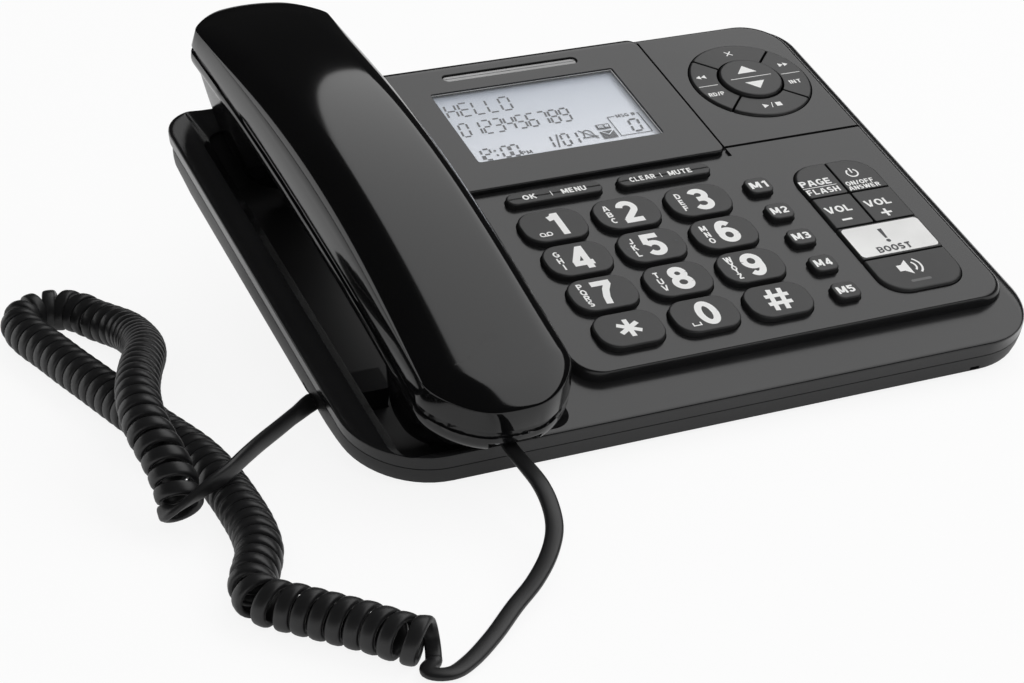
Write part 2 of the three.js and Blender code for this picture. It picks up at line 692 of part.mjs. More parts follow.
function seamMiddleX() {
  return (seam.left + seam.right) / 2;
}

// The handset: a long arched outline, with the crown above its seam and the grip below
const handMiddle = (hand.front + hand.back) / 2;
const handHalf = (hand.back - hand.front) / 2;
const along = (y) => (y - handMiddle) / handHalf;
const seamLine = (y) => hand.seamMid - (hand.seamMid - hand.seamEnd) * along(y) ** 2;

function crownRise(y) {
  const u = along(y);
  const lean = (crown.back - crown.front) / 2;
  const fall = crown.middle - (crown.front + crown.back) / 2;
  return crown.middle + lean * u - fall * u * u;
}

function handRing(inset, height) {
  const half = hand.halfWidth - inset;
  const front = hand.front + inset;
  const back = hand.back - inset;
  const frontR = Math.min(Math.max(handRadius.front - inset, handRadius.front / 8), half * 0.95);
  const backR = Math.min(Math.max(handRadius.back - inset, handRadius.back / 8), half * 0.95);
  const side = [];
  for (let i = 0; i <= cornerSteps; i++) {
    const angle = Math.PI / 2 * (i / cornerSteps - 1);
    const x = half - frontR + frontR * Math.cos(angle);
    const y = front + frontR + frontR * Math.sin(angle);
    side.push([x, y + handRadius.frontBulge * (x / half) ** 2 * Math.max(0, 1 - (y - front) / frontR)]);
  }
  for (let i = 1; i < sideSteps; i++) {
    side.push([half, front + frontR + (back - backR - front - frontR) * i / sideSteps]);
  }
  for (let i = 0; i <= cornerSteps; i++) {
    const angle = Math.PI / 2 * i / cornerSteps;
    const x = half - backR + backR * Math.cos(angle);
    const y = back - backR + backR * Math.sin(angle);
    side.push([x, y - handRadius.backBulge * (x / half) ** 2 * Math.max(0, 1 - (back - y) / backR)]);
  }
  const outline = [[0, front], ...side, [0, back], ...side.toReversed().map(([x, y]) => [-x, y])];
  return outline.map(([x, y]) => new THREE.Vector3(hand.x + x, y, seamLine(y) + height(y)));
}

function crownRings(by, footDrop, steps) {
  const rings = [
    handRing(by, () => seamGap / 2 - footDrop),
    handRing(handBand.draft + by, () => handBand.height - by),
  ];
  for (let i = 1; i <= steps; i++) {
    const angle = Math.PI / 2 * i / steps;
    const inset = handBand.draft + crown.shoulder * (1 - Math.cos(angle)) + by;
    const rise = (y) => handBand.height + (crownRise(y) - handBand.height) * Math.sin(angle) - by;
    rings.push(handRing(inset, rise));
  }
  const flat = handBand.draft + crown.shoulder;
  for (const share of [0.5, 0.93]) {
    rings.push(handRing(flat + (hand.halfWidth - flat) * share, (y) => crownRise(y) - by));
  }
  return rings;
}

const crownSolid = skin(crownRings(0, 0, 4)).subtract(skin(crownRings(handWall, cutOver, 2)));
add('handset_back_shell', crownSolid, 'blackGloss');

// The lower half: a shallow tray along the grip, with the ear and mouth blocks below it
const blockFloor = well.floor + restGap;

function blockSolid(block, by, steps) {
  const isEar = block === ear;
  const bottom = {
    left: hand.x - block.bottomHalf, right: hand.x + block.bottomHalf,
    front: block.bottomFront, back: block.bottomBack,
  };
  const top = {
    left: hand.x - hand.halfWidth + grip.grooveSink, right: hand.x + hand.halfWidth - grip.grooveSink,
    front: isEar ? block.front : hand.front + grip.grooveSink,
    back: isEar ? hand.back - grip.grooveSink : block.back,
  };
  const rings = [];
  for (let i = 0; i <= steps; i++) {
    const t = i / steps;
    const box = shrink(mixBox(bottom, top, t ** block.roundShare), by);
    const outer = (isEar ? handRadius.back : handRadius.front) + grip.grooveSink;
    const radii = shrinkRadii(evenRadii(block.radius + (outer - block.radius) * t), by);
    const level = (x, y) => blockFloor + by + (seamLine(y) - grip.groove - blockFloor - by) * t;
    rings.push(rectangleRing(box, radii, level, digitSteps));
  }
  return skin(rings);
}

function gripTray() {
  const low = grip.groove + grip.lip;
  return skin([
    handRing(grip.turn, () => -grip.depth),
    handRing(grip.turn * 0.45, () => -grip.depth * 0.86),
    handRing(grip.turn * 0.12, () => -grip.depth * 0.62),
    handRing(0, () => -low),
    handRing(0, () => -grip.groove),
    handRing(grip.grooveSink, () => -grip.groove),
    handRing(grip.grooveSink, () => -seamGap / 2),
  ]);
}

function lowerHandset() {
  const tray = skin([
    handRing(grip.turn + handWall, () => -grip.depth + handWall),
    handRing(handWall + grip.grooveSink, () => -grip.groove - grip.lip),
    handRing(handWall + grip.grooveSink, () => cutOver),
  ]);
  const hollow = tray.add(blockSolid(ear, handWall, 2)).add(blockSolid(mouth, handWall, 2));
  let shell = gripTray().add(blockSolid(ear, 0, 4)).add(blockSolid(mouth, 0, 4)).subtract(hollow);
  const under = blockFloor - cutOver;
  const over = blockFloor + handWall + cutOver;
  for (let i = 0; i <= soundHole.count; i++) {
    const angle = 2 * Math.PI * i / soundHole.count;
    const ring = i === soundHole.count ? 0 : soundHole.ring;
    const x = hand.x + ring * Math.cos(angle);
    const y = capsule.y + ring * Math.sin(angle);
    shell = shell.subtract(disc(x, y, soundHole.radius, under, over, 8));
  }
  const slot = boxAround(hand.x, micro.y, microSlot.width, microSlot.depth);
  shell = shell.subtract(prism(slot, evenRadii(microSlot.depth / 3), under, over, 1));
  const recess = {
    left: hand.x - handJack.width / 2, right: hand.x + handJack.width / 2,
    front: hand.front - cutOver, back: handJack.face,
  };
  const low = handJack.z - handJack.height / 2;
  const high = handJack.z + handJack.height / 2;
  const mouthCut = skin([
    rectangleRing({ ...recess, left: recess.left + handJack.taper, right: recess.right - handJack.taper },
      evenRadii(wall / 8), low, 1),
    rectangleRing(recess, evenRadii(wall / 8), high, 1),
  ]);
  const jackBox = handSocketBox(-fitGap);
  const tall = socket.height / 2 + socket.shell + fitGap;
  const jackCut = prism(jackBox, evenRadii(wall / 8), handJack.z - tall, handJack.z + tall, 1);
  return shell.subtract(mouthCut).subtract(jackCut);
}

function handSocketBox(by) {
  const half = socket.width / 2 + socket.shell;
  return shrink({
    left: hand.x - half, right: hand.x + half,
    front: handJack.face + seamGap, back: handJack.face + seamGap + socket.depth + socket.back,
  }, by);
}

function handSocket() {
  const box = handSocketBox(0);
  const tall = socket.height / 2 + socket.shell;
  const bore = {
    left: hand.x - socket.width / 2, right: hand.x + socket.width / 2,
    front: box.front - cutOver, back: box.front + socket.depth,
  };
  const radii = evenRadii(socket.shell / 4);
  return prism(box, radii, handJack.z - tall, handJack.z + tall, 1)
    .subtract(prism(bore, radii, handJack.z - socket.height / 2, handJack.z + socket.height / 2, 1));
}

add('handset_face_shell', lowerHandset(), 'blackSatin');
add('handset_cord_socket', handSocket(), 'blackSatin');
const insideFloor = blockFloor + handWall + seamGap;
for (const [name, part] of [['receiver_capsule', capsule], ['microphone_capsule', micro]]) {
  add(name, disc(hand.x, part.y, part.radius, insideFloor, insideFloor + part.thick, 16), 'steel');
}

// The plugs of the curly cord, pushed into the two sockets
function plug(lying) {
  const body = prism(
    boxAround(0, plugBody.length / 2, plugBody.width, plugBody.length), evenRadii(seamGap),
    -plugBody.height / 2, plugBody.height / 2, 1,
  );
  const neck = prism(
    boxAround(0, -plugBody.neck / 2 + seamGap, cordWidth + wall / 2, plugBody.neck), evenRadii(seamGap),
    -cordThick * 0.75, cordThick * 0.75, 1,
  );
  return lying(body.add(neck));
}

const basePlugX = belly.left + baseJack.sink + socket.depth - plugBody.length - fitGap;
const basePlug = plug((solid) => solid.rotate([0, 0, -90]).translate([basePlugX, baseJack.y, baseJack.z]));
add('base_plug', basePlug, 'clear');
const handPlugY = handJack.face + seamGap + socket.depth - plugBody.length - fitGap;
add('handset_plug', plug((solid) => solid.translate([hand.x, handPlugY, handJack.z])), 'clear');

// The curly cord. Its points lie over the table: x as the body's, y from the tipping edge, z up.
const coilPoints = [
  [-173.8, -80.2, 10.5], [-173.4, -71.9, 13.2], [-173.7, -64.9, 17.0], [-174.1, -56.6, 20.4],
  [-173.1, -46.1, 22.3], [-169.8, -32.8, 23.0], [-163.5, -15.9, 21.5], [-154.8, 5.8, 17.4],
  [-149.9, 26.5, 12.4], [-148.8, 43.1, 9.2], [-150.7, 53.6, 7.6], [-153.7, 62.1, 7.0],
  [-155.3, 67.4, 7.0], [-158.6, 72.3, 7.0], [-163.7, 74.9, 7.0], [-169.4, 74.6, 7.0],
  [-174.0, 71.3, 7.0], [-176.3, 66.0, 7.0], [-176.2, 56.0, 7.0], [-173.9, 42.5, 7.0],
  [-171.8, 28.5, 7.0], [-169.4, 14.6, 7.0], [-167.3, 1.5, 7.0], [-162.8, -25.4, 7.0],
  [-158.3, -49.4, 7.0], [-157.6, -66.3, 7.0], [-158.7, -85.9, 7.0], [-160.5, -101.1, 7.0],
  [-163.4, -112.6, 7.0], [-167.6, -121.2, 7.0], [-171.4, -128.6, 7.0], [-172.6, -135.0, 7.0],
  [-170.3, -140.6, 7.0], [-166.5, -145.0, 7.0], [-161.6, -151.3, 7.0], [-156.8, -157.5, 7.0],
  [-152.0, -163.7, 7.0], [-148.2, -169.8, 7.0], [-144.8, -174.2, 7.0], [-141.2, -176.6, 7.0],
];
const baseLeadPoints = [
  [-118.5, -37.4, 10.9], [-126.5, -44.5, 11.8], [-136.0, -54.0, 13.8], [-145.5, -63.5, 16.6],
  [-153.5, -71.0, 18.4],
];
const handLeadPoints = [
  [-141.9, -184.7, 1.5], [-139.0, -184.2, 1.6], [-133.0, -180.3, 1.8], [-122.7, -172.8, 2.4],
  [-112.0, -164.2, 3.9], [-102.9, -157.6, 6.0], [-95.2, -150.4, 8.6], [-89.4, -142.3, 11.0],
  [-86.0, -133.5, 13.0], [-83.9, -122.6, 15.0],
];
const up = new THREE.Vector3(0, 0, 1);
const toPoints = (list) => list.map((p) => new THREE.Vector3(...p));

// Across the line of a cord: one direction upright and one to the left of the way it runs
function across(heading) {
  const left = new THREE.Vector3().crossVectors(up, heading).normalize();
  return { left, upright: new THREE.Vector3().crossVectors(heading, left) };
}

// Curls run against the clock round their axis, further apart where the axis bends
function coilStations() {
  const axis = new THREE.CatmullRomCurve3(toPoints(coilPoints), false, 'centripetal');
  axis.arcLengthDivisions = coilPoints.length * 40;
  const length = axis.getLength();
  const reach = coilRadius + cordThick / 2;
  const step = coilPitch / 20;
  const span = Math.floor(length / step);
  const headings = Array.from({ length: span + 1 }, (_, i) => axis.getTangentAt(i / span));
  const turnsAt = [0];
  for (let i = 1; i <= span; i++) {
    const near = headings[Math.max(0, i - 10)];
    const far = headings[Math.min(span, i + 10)];
    const bend = near.angleTo(far) / (step * (Math.min(span, i + 10) - Math.max(0, i - 10)));
    const pitch = Math.max(coilPitch, coilTight / (1 - Math.min(reach * bend, bendShareMax)));
    turnsAt.push(turnsAt[i - 1] + step / pitch);
  }
  const turns = Math.floor(turnsAt[span] - 0.5) + 0.5;
  const count = Math.round(turns * coilSteps);
  const stretch = turnsAt[span] / turns;
  const stations = [];
  let i = 0;
  for (let k = 0; k <= count; k++) {
    const turn = k / coilSteps;
    while (i + 1 < span && turnsAt[i + 1] < turn * stretch) {
      i += 1;
    }
    const share = (turn * stretch - turnsAt[i]) / (turnsAt[i + 1] - turnsAt[i]);
    const along = Math.min((i + share) / span, 1);
    const heading = axis.getTangentAt(along);
    const { left, upright } = across(heading);
    const angle = 2 * Math.PI * turn;
    const out = upright.multiplyScalar(Math.cos(angle)).addScaledVector(left, Math.sin(angle));
    const at = axis.getPointAt(along).addScaledVector(out, coilRadius);
    stations.push({ at, wide: heading.negate(), thick: out });
  }
  return stations;
}

// A straight run of one cord width, carried on from the first or the last station
function straightEnd(end, next) {
  const away = new THREE.Vector3().subVectors(end.at, next.at);
  away.addScaledVector(end.wide, -away.dot(end.wide)).addScaledVector(end.thick, -away.dot(end.thick));
  away.normalize();
  return { ...end, at: end.at.clone().addScaledVector(away, cordWidth), away };
}

// The flat lead between two ends, held level: start and end each give a point and a heading.
function leadStations(start, middle, end, count) {
  const pull = cordWidth;
  const points = [
    start.at, start.at.clone().addScaledVector(start.heading, pull), ...toPoints(middle),
    end.at.clone().addScaledVector(end.heading, -pull), end.at,
  ];
  const line = new THREE.CatmullRomCurve3(points, false, 'centripetal');
  return Array.from({ length: count + 1 }, (_, i) => {
    const heading = i === 0 ? start.heading : i === count ? end.heading : line.getTangentAt(i / count);
    const { left, upright } = across(heading);
    return { at: line.getPointAt(i / count), wide: left, thick: upright };
  });
}

const coil = coilStations();
const coilStart = straightEnd(coil[0], coil[1]);
const coilEnd = straightEnd(coil.at(-1), coil.at(-2));
const wholeCoil = [coilStart, ...coil, coilEnd];
const tippedPoint = (x, y, z) => new THREE.Vector3(x, y, z).applyAxisAngle(new THREE.Vector3(1, 0, 0), tilt)
  .setZ(z * Math.cos(tilt) + y * Math.sin(tilt) + standHeight);
const plugBack = plugBody.neck - seamGap + joinGap;
const baseStart = {
  at: tippedPoint(basePlugX - plugBack, baseJack.y, baseJack.z), heading: new THREE.Vector3(-1, 0, 0),
};
const baseEnd = {
  at: coilStart.at.clone().addScaledVector(coilStart.away, joinGap), heading: coilStart.away.clone().negate(),
};
const handStart = { at: coilEnd.at.clone().addScaledVector(coilEnd.away, joinGap), heading: coilEnd.away };
const handEnd = {
  at: tippedPoint(hand.x, handPlugY - plugBack, handJack.z),
  heading: new THREE.Vector3(0, Math.cos(tilt), Math.sin(tilt)),
};
const leads = {
  base_lead: leadStations(baseStart, baseLeadPoints, baseEnd, leadSteps.base),
  handset_lead: leadStations(handStart, handLeadPoints, handEnd, leadSteps.hand),
};
for (const [name, stations] of Object.entries(leads)) {
  add(name, toSolid(tube(stations, cordWidth / 2, cordThick / 2, leadSides)), 'cord', loose);
}
add('curly_cord', toSolid(tube(wholeCoil, cordWidth / 2, cordThick / 2, coilSides)), 'cord', loose);

const nearCells = [-1, 0, 1].flatMap((x) => [-1, 0, 1].flatMap((y) => [-1, 0, 1].map((z) => [x, y, z])));

// The least gap from one turn to another, on points spread over the surface of the coil
function leastGap(stations) {
  const fine = 4;
  const ring = coilSides * fine;
  const surface = [];
  const corner = (s, i) => {
    const angle = 2 * Math.PI * i / coilSides;
    return s.at.clone().addScaledVector(s.wide, cordWidth / 2 * Math.cos(angle))
      .addScaledVector(s.thick, cordThick / 2 * Math.sin(angle));
  };
  for (let k = 0; k + 1 < stations.length; k++) {
    for (let step = 0; step < fine; step++) {
      for (let i = 0; i < ring; i++) {
        const side = Math.floor(i / fine);
        const near = corner(stations[k], side).lerp(corner(stations[k], side + 1), i / fine - side);
        const far = corner(stations[k + 1], side).lerp(corner(stations[k + 1], side + 1), i / fine - side);
        surface.push({ at: near.lerp(far, step / fine), turn: k + step / fine });
      }
    }
  }
  const cellOf = (v) => Math.floor(v / coilPitch);
  const cells = new Map();
  surface.forEach((p, i) => {
    const key = `${cellOf(p.at.x)} ${cellOf(p.at.y)} ${cellOf(p.at.z)}`;
    cells.set(key, [...(cells.get(key) ?? []), i]);
  });
  let least = coilPitch;
  for (const [key, members] of cells) {
    const [cx, cy, cz] = key.split(' ').map(Number);
    for (const [dx, dy, dz] of nearCells) {
      const others = cells.get(`${cx + dx} ${cy + dy} ${cz + dz}`) ?? [];
      for (const i of members) {
        for (const j of others) {
          if (j > i && Math.abs(surface[i].turn - surface[j].turn) > coilSteps / 2) {
            least = Math.min(least, surface[i].at.distanceTo(surface[j].at));
          }
        }
      }
    }
  }
  return least;
}

console.log(`curls: ${(coil.length / coilSteps).toFixed(1)}`);
console.log(`least gap between curls: ${leastGap(wholeCoil).toFixed(2)} mm`);

// The body tips up at the back, and the whole stands with the middle of its footprint at the origin
tipped.rotation.x = tilt;
tipped.position.z = standHeight;
parts.add(tipped, loose);
parts.updateMatrixWorld(true);
const extent = new THREE.Box3();
for (const mesh of tipped.children) {
  if (!['base_plug', 'handset_plug'].includes(mesh.name)) {
    extent.union(new THREE.Box3().setFromObject(mesh, true));
  }
}
const middle = extent.getCenter(new THREE.Vector3());
parts.position.set(-middle.x, -middle.y, -extent.min.z);
console.log(`moved by ${parts.position.toArray().map((v) => v.toFixed(3)).join(', ')}`);

export default parts;
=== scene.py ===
# A corded desk telephone with large keys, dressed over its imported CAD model.
# Sizes are in millimetres in the flat plane of the body, which is then tipped up at the back.
import math

import bpy
import numpy as np
from mathutils import Matrix, Vector


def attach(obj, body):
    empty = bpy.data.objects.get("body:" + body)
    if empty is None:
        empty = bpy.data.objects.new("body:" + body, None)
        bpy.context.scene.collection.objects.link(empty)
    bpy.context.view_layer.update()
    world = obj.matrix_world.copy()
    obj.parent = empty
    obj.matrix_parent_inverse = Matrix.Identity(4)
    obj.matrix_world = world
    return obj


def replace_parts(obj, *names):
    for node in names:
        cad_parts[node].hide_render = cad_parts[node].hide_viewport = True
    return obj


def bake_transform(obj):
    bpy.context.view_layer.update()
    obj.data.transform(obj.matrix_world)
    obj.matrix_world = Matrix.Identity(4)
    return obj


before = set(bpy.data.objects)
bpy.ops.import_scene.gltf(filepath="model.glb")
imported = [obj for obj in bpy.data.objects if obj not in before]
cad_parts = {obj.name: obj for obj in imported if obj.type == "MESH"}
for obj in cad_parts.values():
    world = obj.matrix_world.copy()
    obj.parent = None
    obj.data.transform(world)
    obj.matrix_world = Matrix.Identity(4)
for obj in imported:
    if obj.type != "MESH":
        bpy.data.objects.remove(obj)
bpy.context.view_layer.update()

# Camera. It stands to the left of the telephone and looks down on it, as the photograph does.
# Its place was solved from the rows of keys, the display panel and the edge on the table.
camera_at = Vector((-0.38715, -0.72011, 0.3492))
looks_along = Vector((0.4023, 0.8248, -0.3973))
camera_roll = math.radians(0.14)
camera_data = bpy.data.cameras.new("camera")
camera_data.sensor_width = 36
camera_data.lens = 95.22
camera = bpy.data.objects.new("camera", camera_data)
bpy.context.scene.collection.objects.link(camera)
aim = looks_along.to_track_quat("-Z", "Y").to_matrix().to_4x4()
camera.matrix_world = Matrix.Translation(camera_at) @ aim @ Matrix.Rotation(camera_roll, 4, "Z")
bpy.context.scene.camera = camera
bpy.context.scene.view_settings.view_transform = "Standard"


# Studio. A white floor and room as the camera sees them, under an overhead softbox. Gloss sees the
# room dim, which gives the black plastic its dark sides, and the softbox gives its grey tops.
MM = 0.001


class Wire:
    """A value inside a material. Operators add Math nodes, and node() adds any other node."""

    def __init__(self, tree, socket=None):
        self.tree = tree
        self.socket = socket

    def node(self, kind, settings=None, output=0, **inputs):
        """Adds a node, sets it, joins or sets its inputs, and gives one of its outputs. An input is
        named as in Blender with _ for a space, or i0, i1 and so on by its place."""
        made = self.tree.nodes.new(kind)
        for name, value in (settings or {}).items():
            setattr(made, name, value)
        for name, value in inputs.items():
            plug = made.inputs[int(name[1:]) if name[1:].isdigit() else name.replace("_", " ")]
            if isinstance(value, Wire):
                self.tree.links.new(value.socket, plug)
            else:
                plug.default_value = value
        return Wire(self.tree, made.outputs[output])

    def ramp(self, *stops):
        """Turns a value into a colour, through stops that each give a place and a colour."""
        made = self.node("ShaderNodeValToRGB", Fac=self)
        elements = made.socket.node.color_ramp.elements
        while len(elements) < len(stops):
            elements.new(0.5)
        for element, (place, shade) in zip(elements, stops):
            element.position = place
            element.color = (*shade, 1)
        return made

    def noise(self, size, detail=3.0):
        """Noise on this vector, in clouds of about a size in millimetres."""
        return self.node("ShaderNodeTexNoise", Vector=self, Scale=1 / (size * MM), Detail=detail)

    def rays(self, *kinds):
        """For each kind of ray, a wire that is 1 where such a ray meets the material."""
        outputs = self.node("ShaderNodeLightPath").socket.node.outputs
        return [Wire(self.tree, outputs[f"Is {kind} Ray"]) for kind in kinds]

    def maths(self, operation, first, second):
        """A Math node on two values."""
        return self.node("ShaderNodeMath", {"operation": operation}, i0=first, i1=second)

    def __add__(self, other):
        return self.maths("ADD", self, other)

    def __sub__(self, other):
        return self.maths("SUBTRACT", self, other)

    def __rsub__(self, other):
        return self.maths("SUBTRACT", other, self)

    def __mul__(self, other):
        return self.maths("MULTIPLY", self, other)

    __radd__, __rmul__ = __add__, __mul__


def new_material(name):
    """A material with only its output, as (material, a wire that stands for its tree)."""
    material = bpy.data.materials.new(name)
    material.use_nodes = True
    tree = material.node_tree
    tree.nodes.clear()
    tree.nodes.new("ShaderNodeOutputMaterial")
    return material, Wire(tree)


def finish_material(material, shader):
    """Joins the last shader to the material's output."""
    material.node_tree.links.new(
        shader.socket, material.node_tree.nodes["Material Output"].inputs["Surface"])
    return material


def softbox(name, place, target, size, radiance, shape="RECTANGLE", shows=True):
    """An area lamp of a size in metres and a radiance, aimed at a point. One that does not show
    lights matt colours and prints, but leaves no reflection."""
    lamp = bpy.data.lights.new(name, "AREA")
    lamp.shape = shape
    lamp.size, lamp.size_y = size
    filled = math.pi / 4 if shape == "ELLIPSE" else 1
    lamp.energy = radiance * math.pi * size[0] * size[1] * filled
    made = bpy.data.objects.new(name, lamp)
    made.location = place
    made.rotation_euler = (Vector(target) - Vector(place)).to_track_quat("-Z", "Y").to_euler()
    made.visible_glossy = shows
    bpy.context.scene.collection.objects.link(made)


softbox("overhead_softbox", (1.95, 0.3, 2.0), (1.95, 0.3, 0), (3.0, 5.2), 1.5, "ELLIPSE")
softbox("left_panel", (-1.6, 1.9, 0.35), (0, 0, 0.3), (2.4, 0.5), 1.2)
softbox("front_fill", (-0.6, -1.6, 1.6), (0, 0, 0.05), (1.2, 1.2), 2.4, shows=False)

room_light, room_gloss = 0.4, 0.02
world = bpy.data.worlds.new("studio")
world.use_nodes = True
bpy.context.scene.world = world
seen, glossy = Wire(world.node_tree).rays("Camera", "Glossy")
strength = room_light + (1 - room_light) * seen + (room_gloss - room_light) * glossy
background = world.node_tree.nodes["Background"].inputs
background["Color"].default_value = (1, 1, 1, 1)
world.node_tree.links.new(strength.socket, background["Strength"])

floor_glow, floor_gloss = 0.88, 0.3
bpy.ops.mesh.primitive_plane_add(size=12)
floor = bpy.context.object
floor.name = "floor"
floor_white, start = new_material("floor_white")
lit = start.node("ShaderNodeBsdfDiffuse", Color=(0.9, 0.9, 0.9, 1))
glow = start.node("ShaderNodeEmission", Strength=1.0)
seen, glossy, through = start.rays("Camera", "Glossy", "Transmission")
share = floor_glow * (seen + through) + floor_gloss * glossy
finish_material(floor_white, start.node("ShaderNodeMixShader", Fac=share, i1=lit, i2=glow))
floor.data.materials.append(floor_white)


# Body, upper shell. One satin black moulding: the deck, the raised plate of the keys and the
# cradle. The keys, the dial, the display and the hook plunger pass through it. Like every piece,
# it is drawn flat, in millimetres, and PLANE then tips it up about its front edge.
PLANE = Matrix.Translation(Vector((-1.25, 3.589, 27.182)) * MM)
tip = math.radians(17)
PLANE @= Matrix.Rotation(tip, 4, "X")
fit_gap = 0.35
wall = 2.2
over = 1.0
top_rim = 0.3


def four_radii(radii):
    """The radii of four corners, from those or from one."""
    return (radii,) * 4 if np.isscalar(radii) else radii


def box_ring(box, radii, z, steps=14):
    """Outline of a box (left, right, front, back) at a height, which may depend on x and y. Its
    corners are quarter circles, centre + r (cos a, sin a), with one radius, or with those of
    front right, back right, back left and front left."""
    left, right, front, back = box
    radii = four_radii(radii)
    turn = np.radians(np.linspace(0, 90, steps + 1))
    centres = (
        (right - radii[0], front + radii[0], -90), (right - radii[1], back - radii[1], 0),
        (left + radii[2], back - radii[2], 90), (left + radii[3], front + radii[3], 180),
    )
    corners = [(cx + r * np.cos(turn + math.radians(a)), cy + r * np.sin(turn + math.radians(a)))
               for (cx, cy, a), r in zip(centres, radii)]
    x, y = np.concatenate(corners, axis=1)
    return np.stack([x, y, z(x, y) if callable(z) else np.full_like(x, z)], 1)


def grown(box, by):
    """A box with each side moved out."""
    return (box[0] - by, box[1] + by, box[2] - by, box[3] + by)


def less(radii, by):
    """Corner radii for an outline drawn in."""
    return tuple(max(r - by, r / 8) for r in four_radii(radii))


def mixed(low, high, share):
    """A box part of the way from one to another."""
    return tuple(a + (b - a) * share for a, b in zip(low, high))


def around(x, y, width, depth):
    """A box about a point."""
    return (x - width / 2, x + width / 2, y - depth / 2, y + depth / 2)


def skin(name, points, faces, material=None):
    """A new object from points in millimetres and the faces over them."""
    mesh = bpy.data.meshes.new(name)
    mesh.from_pydata((np.asarray(points) * MM).tolist(), [], faces)
    if material:
        mesh.materials.append(material)
    made = bpy.data.objects.new(name, mesh)
    bpy.context.scene.collection.objects.link(made)
    return made


def loft(name, rings, material=None, bridged=False):
    """A closed skin over rings of as many points each. Its ends are flat faces or, bridged, strips
    of quads from each point to the one that mirrors it, for an end that bends."""
    rings = np.asarray(rings, float)
    layers, count = rings.shape[:2]
    here, nxt = np.arange(count), np.roll(np.arange(count), -1)
    base = np.arange(layers - 1)[:, None] * count
    faces = np.stack([base + here, base + nxt, base + count + nxt, base + count + here], -1)
    faces = faces.reshape(-1, 4).tolist()
    last = (layers - 1) * count
    if bridged:
        i = np.arange(count // 2 - 1)
        top = np.stack([i, i + 1, count - 2 - i, count - 1 - i], 1)
        faces += (top + last).tolist() + top[:, ::-1].tolist()
    else:
        faces += [here[::-1].tolist(), (here + last).tolist()]
    return skin(name, rings.reshape(-1, 3), faces, material)


def prism(name, box, radii, low, high, steps=14):
    """A block with upright sides."""
    return loft(name, [box_ring(box, radii, low, steps), box_ring(box, radii, high, steps)])


def rolled(low_box, high_box, radii, low, high, steps=8, foot=()):
    """Rings of a block whose edge rolls from one outline into another as a quarter ellipse, over
    the rings of its foot. The last, just inside the top, keeps the face above flat to the light."""
    turn = np.pi / 2 * np.linspace(0, 1, steps + 1)
    rings = [box_ring(mixed(low_box, high_box, 1 - math.cos(a)), radii,
                      low + (high - low) * math.sin(a)) for a in turn]
    return [*foot, *rings, box_ring(grown(high_box, -top_rim), less(radii, top_rim), high)]


def apply_modifiers(piece):
    """Gives a piece the mesh that its modifiers make of it."""
    graph = bpy.context.evaluated_depsgraph_get()
    mesh = bpy.data.meshes.new_from_object(piece.evaluated_get(graph))
    piece.modifiers.clear()
    piece.data = mesh


def boolean(piece, tools, operation="DIFFERENCE"):
    """Cuts, joins or crops a piece with each tool in turn, and removes the tools."""
    for tool in tools:
        step = piece.modifiers.new("cut", "BOOLEAN")
        step.operation = operation
        step.solver = "EXACT"
        step.object = tool
    apply_modifiers(piece)
    for tool in tools:
        bpy.data.objects.remove(tool)
    return piece


def settle(piece, body="root", place=PLANE, edge=0.0, crease=32, weigh=True, prints=()):
    """Rounds a piece's sharp edges by a width in millimetres, shades it, joins the marks printed
    on it, puts it in place, and has it ride on a body."""
    if edge:
        bevel = piece.modifiers.new("edge", "BEVEL")
        bevel.width = edge * MM
        bevel.segments = 2
        bevel.limit_method = "ANGLE"
        bevel.angle_limit = math.radians(crease)
        apply_modifiers(piece)
    piece.data.shade_smooth()
    piece.data.set_sharp_from_angle(angle=math.radians(crease + 8))
    if weigh:
        weighted = piece.modifiers.new("weigh", "WEIGHTED_NORMAL")
        weighted.keep_sharp = True
        weighted.weight = 80
        apply_modifiers(piece)
    if prints:
        joined = [piece, *prints]
        with bpy.context.temp_override(active_object=piece, selected_editable_objects=joined):
            bpy.ops.object.join()
    if place is not None:
        piece.data.transform(place)
    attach(piece, body)
    return piece


def moulded(name, shade, roughness, grain=0.0, grain_size=0.3, coat=0.0, uneven=0.06,
            metallic=0.0, alpha=1.0):
    """Moulded plastic: a plain colour with faint clouds in it, a roughness that drifts with
    handling, and, where it is textured, the fine leather of the mould as bump."""
    material, start = new_material(name)
    where = start.node("ShaderNodeTexCoord", output=3)
    darker, lighter = (tuple(min(1.0, c * by) for c in shade) for by in (0.9, 1.1))
    colour = where.noise(26).ramp((0.3, darker), (0.7, lighter))
    rough = (where.noise(60, 4.0) - 0.5) * (2 * uneven) + roughness
    inputs = {"Base_Color": colour, "Roughness": rough, "Metallic": metallic,
              "Coat_Weight": coat, "Alpha": alpha}
    if grain:
        inputs["Normal"] = start.node("ShaderNodeBump", Strength=grain, Distance=0.05 * MM,
                                      Height=where.noise(grain_size, 2.0))
    return finish_material(material, start.node("ShaderNodeBsdfPrincipled", **inputs))


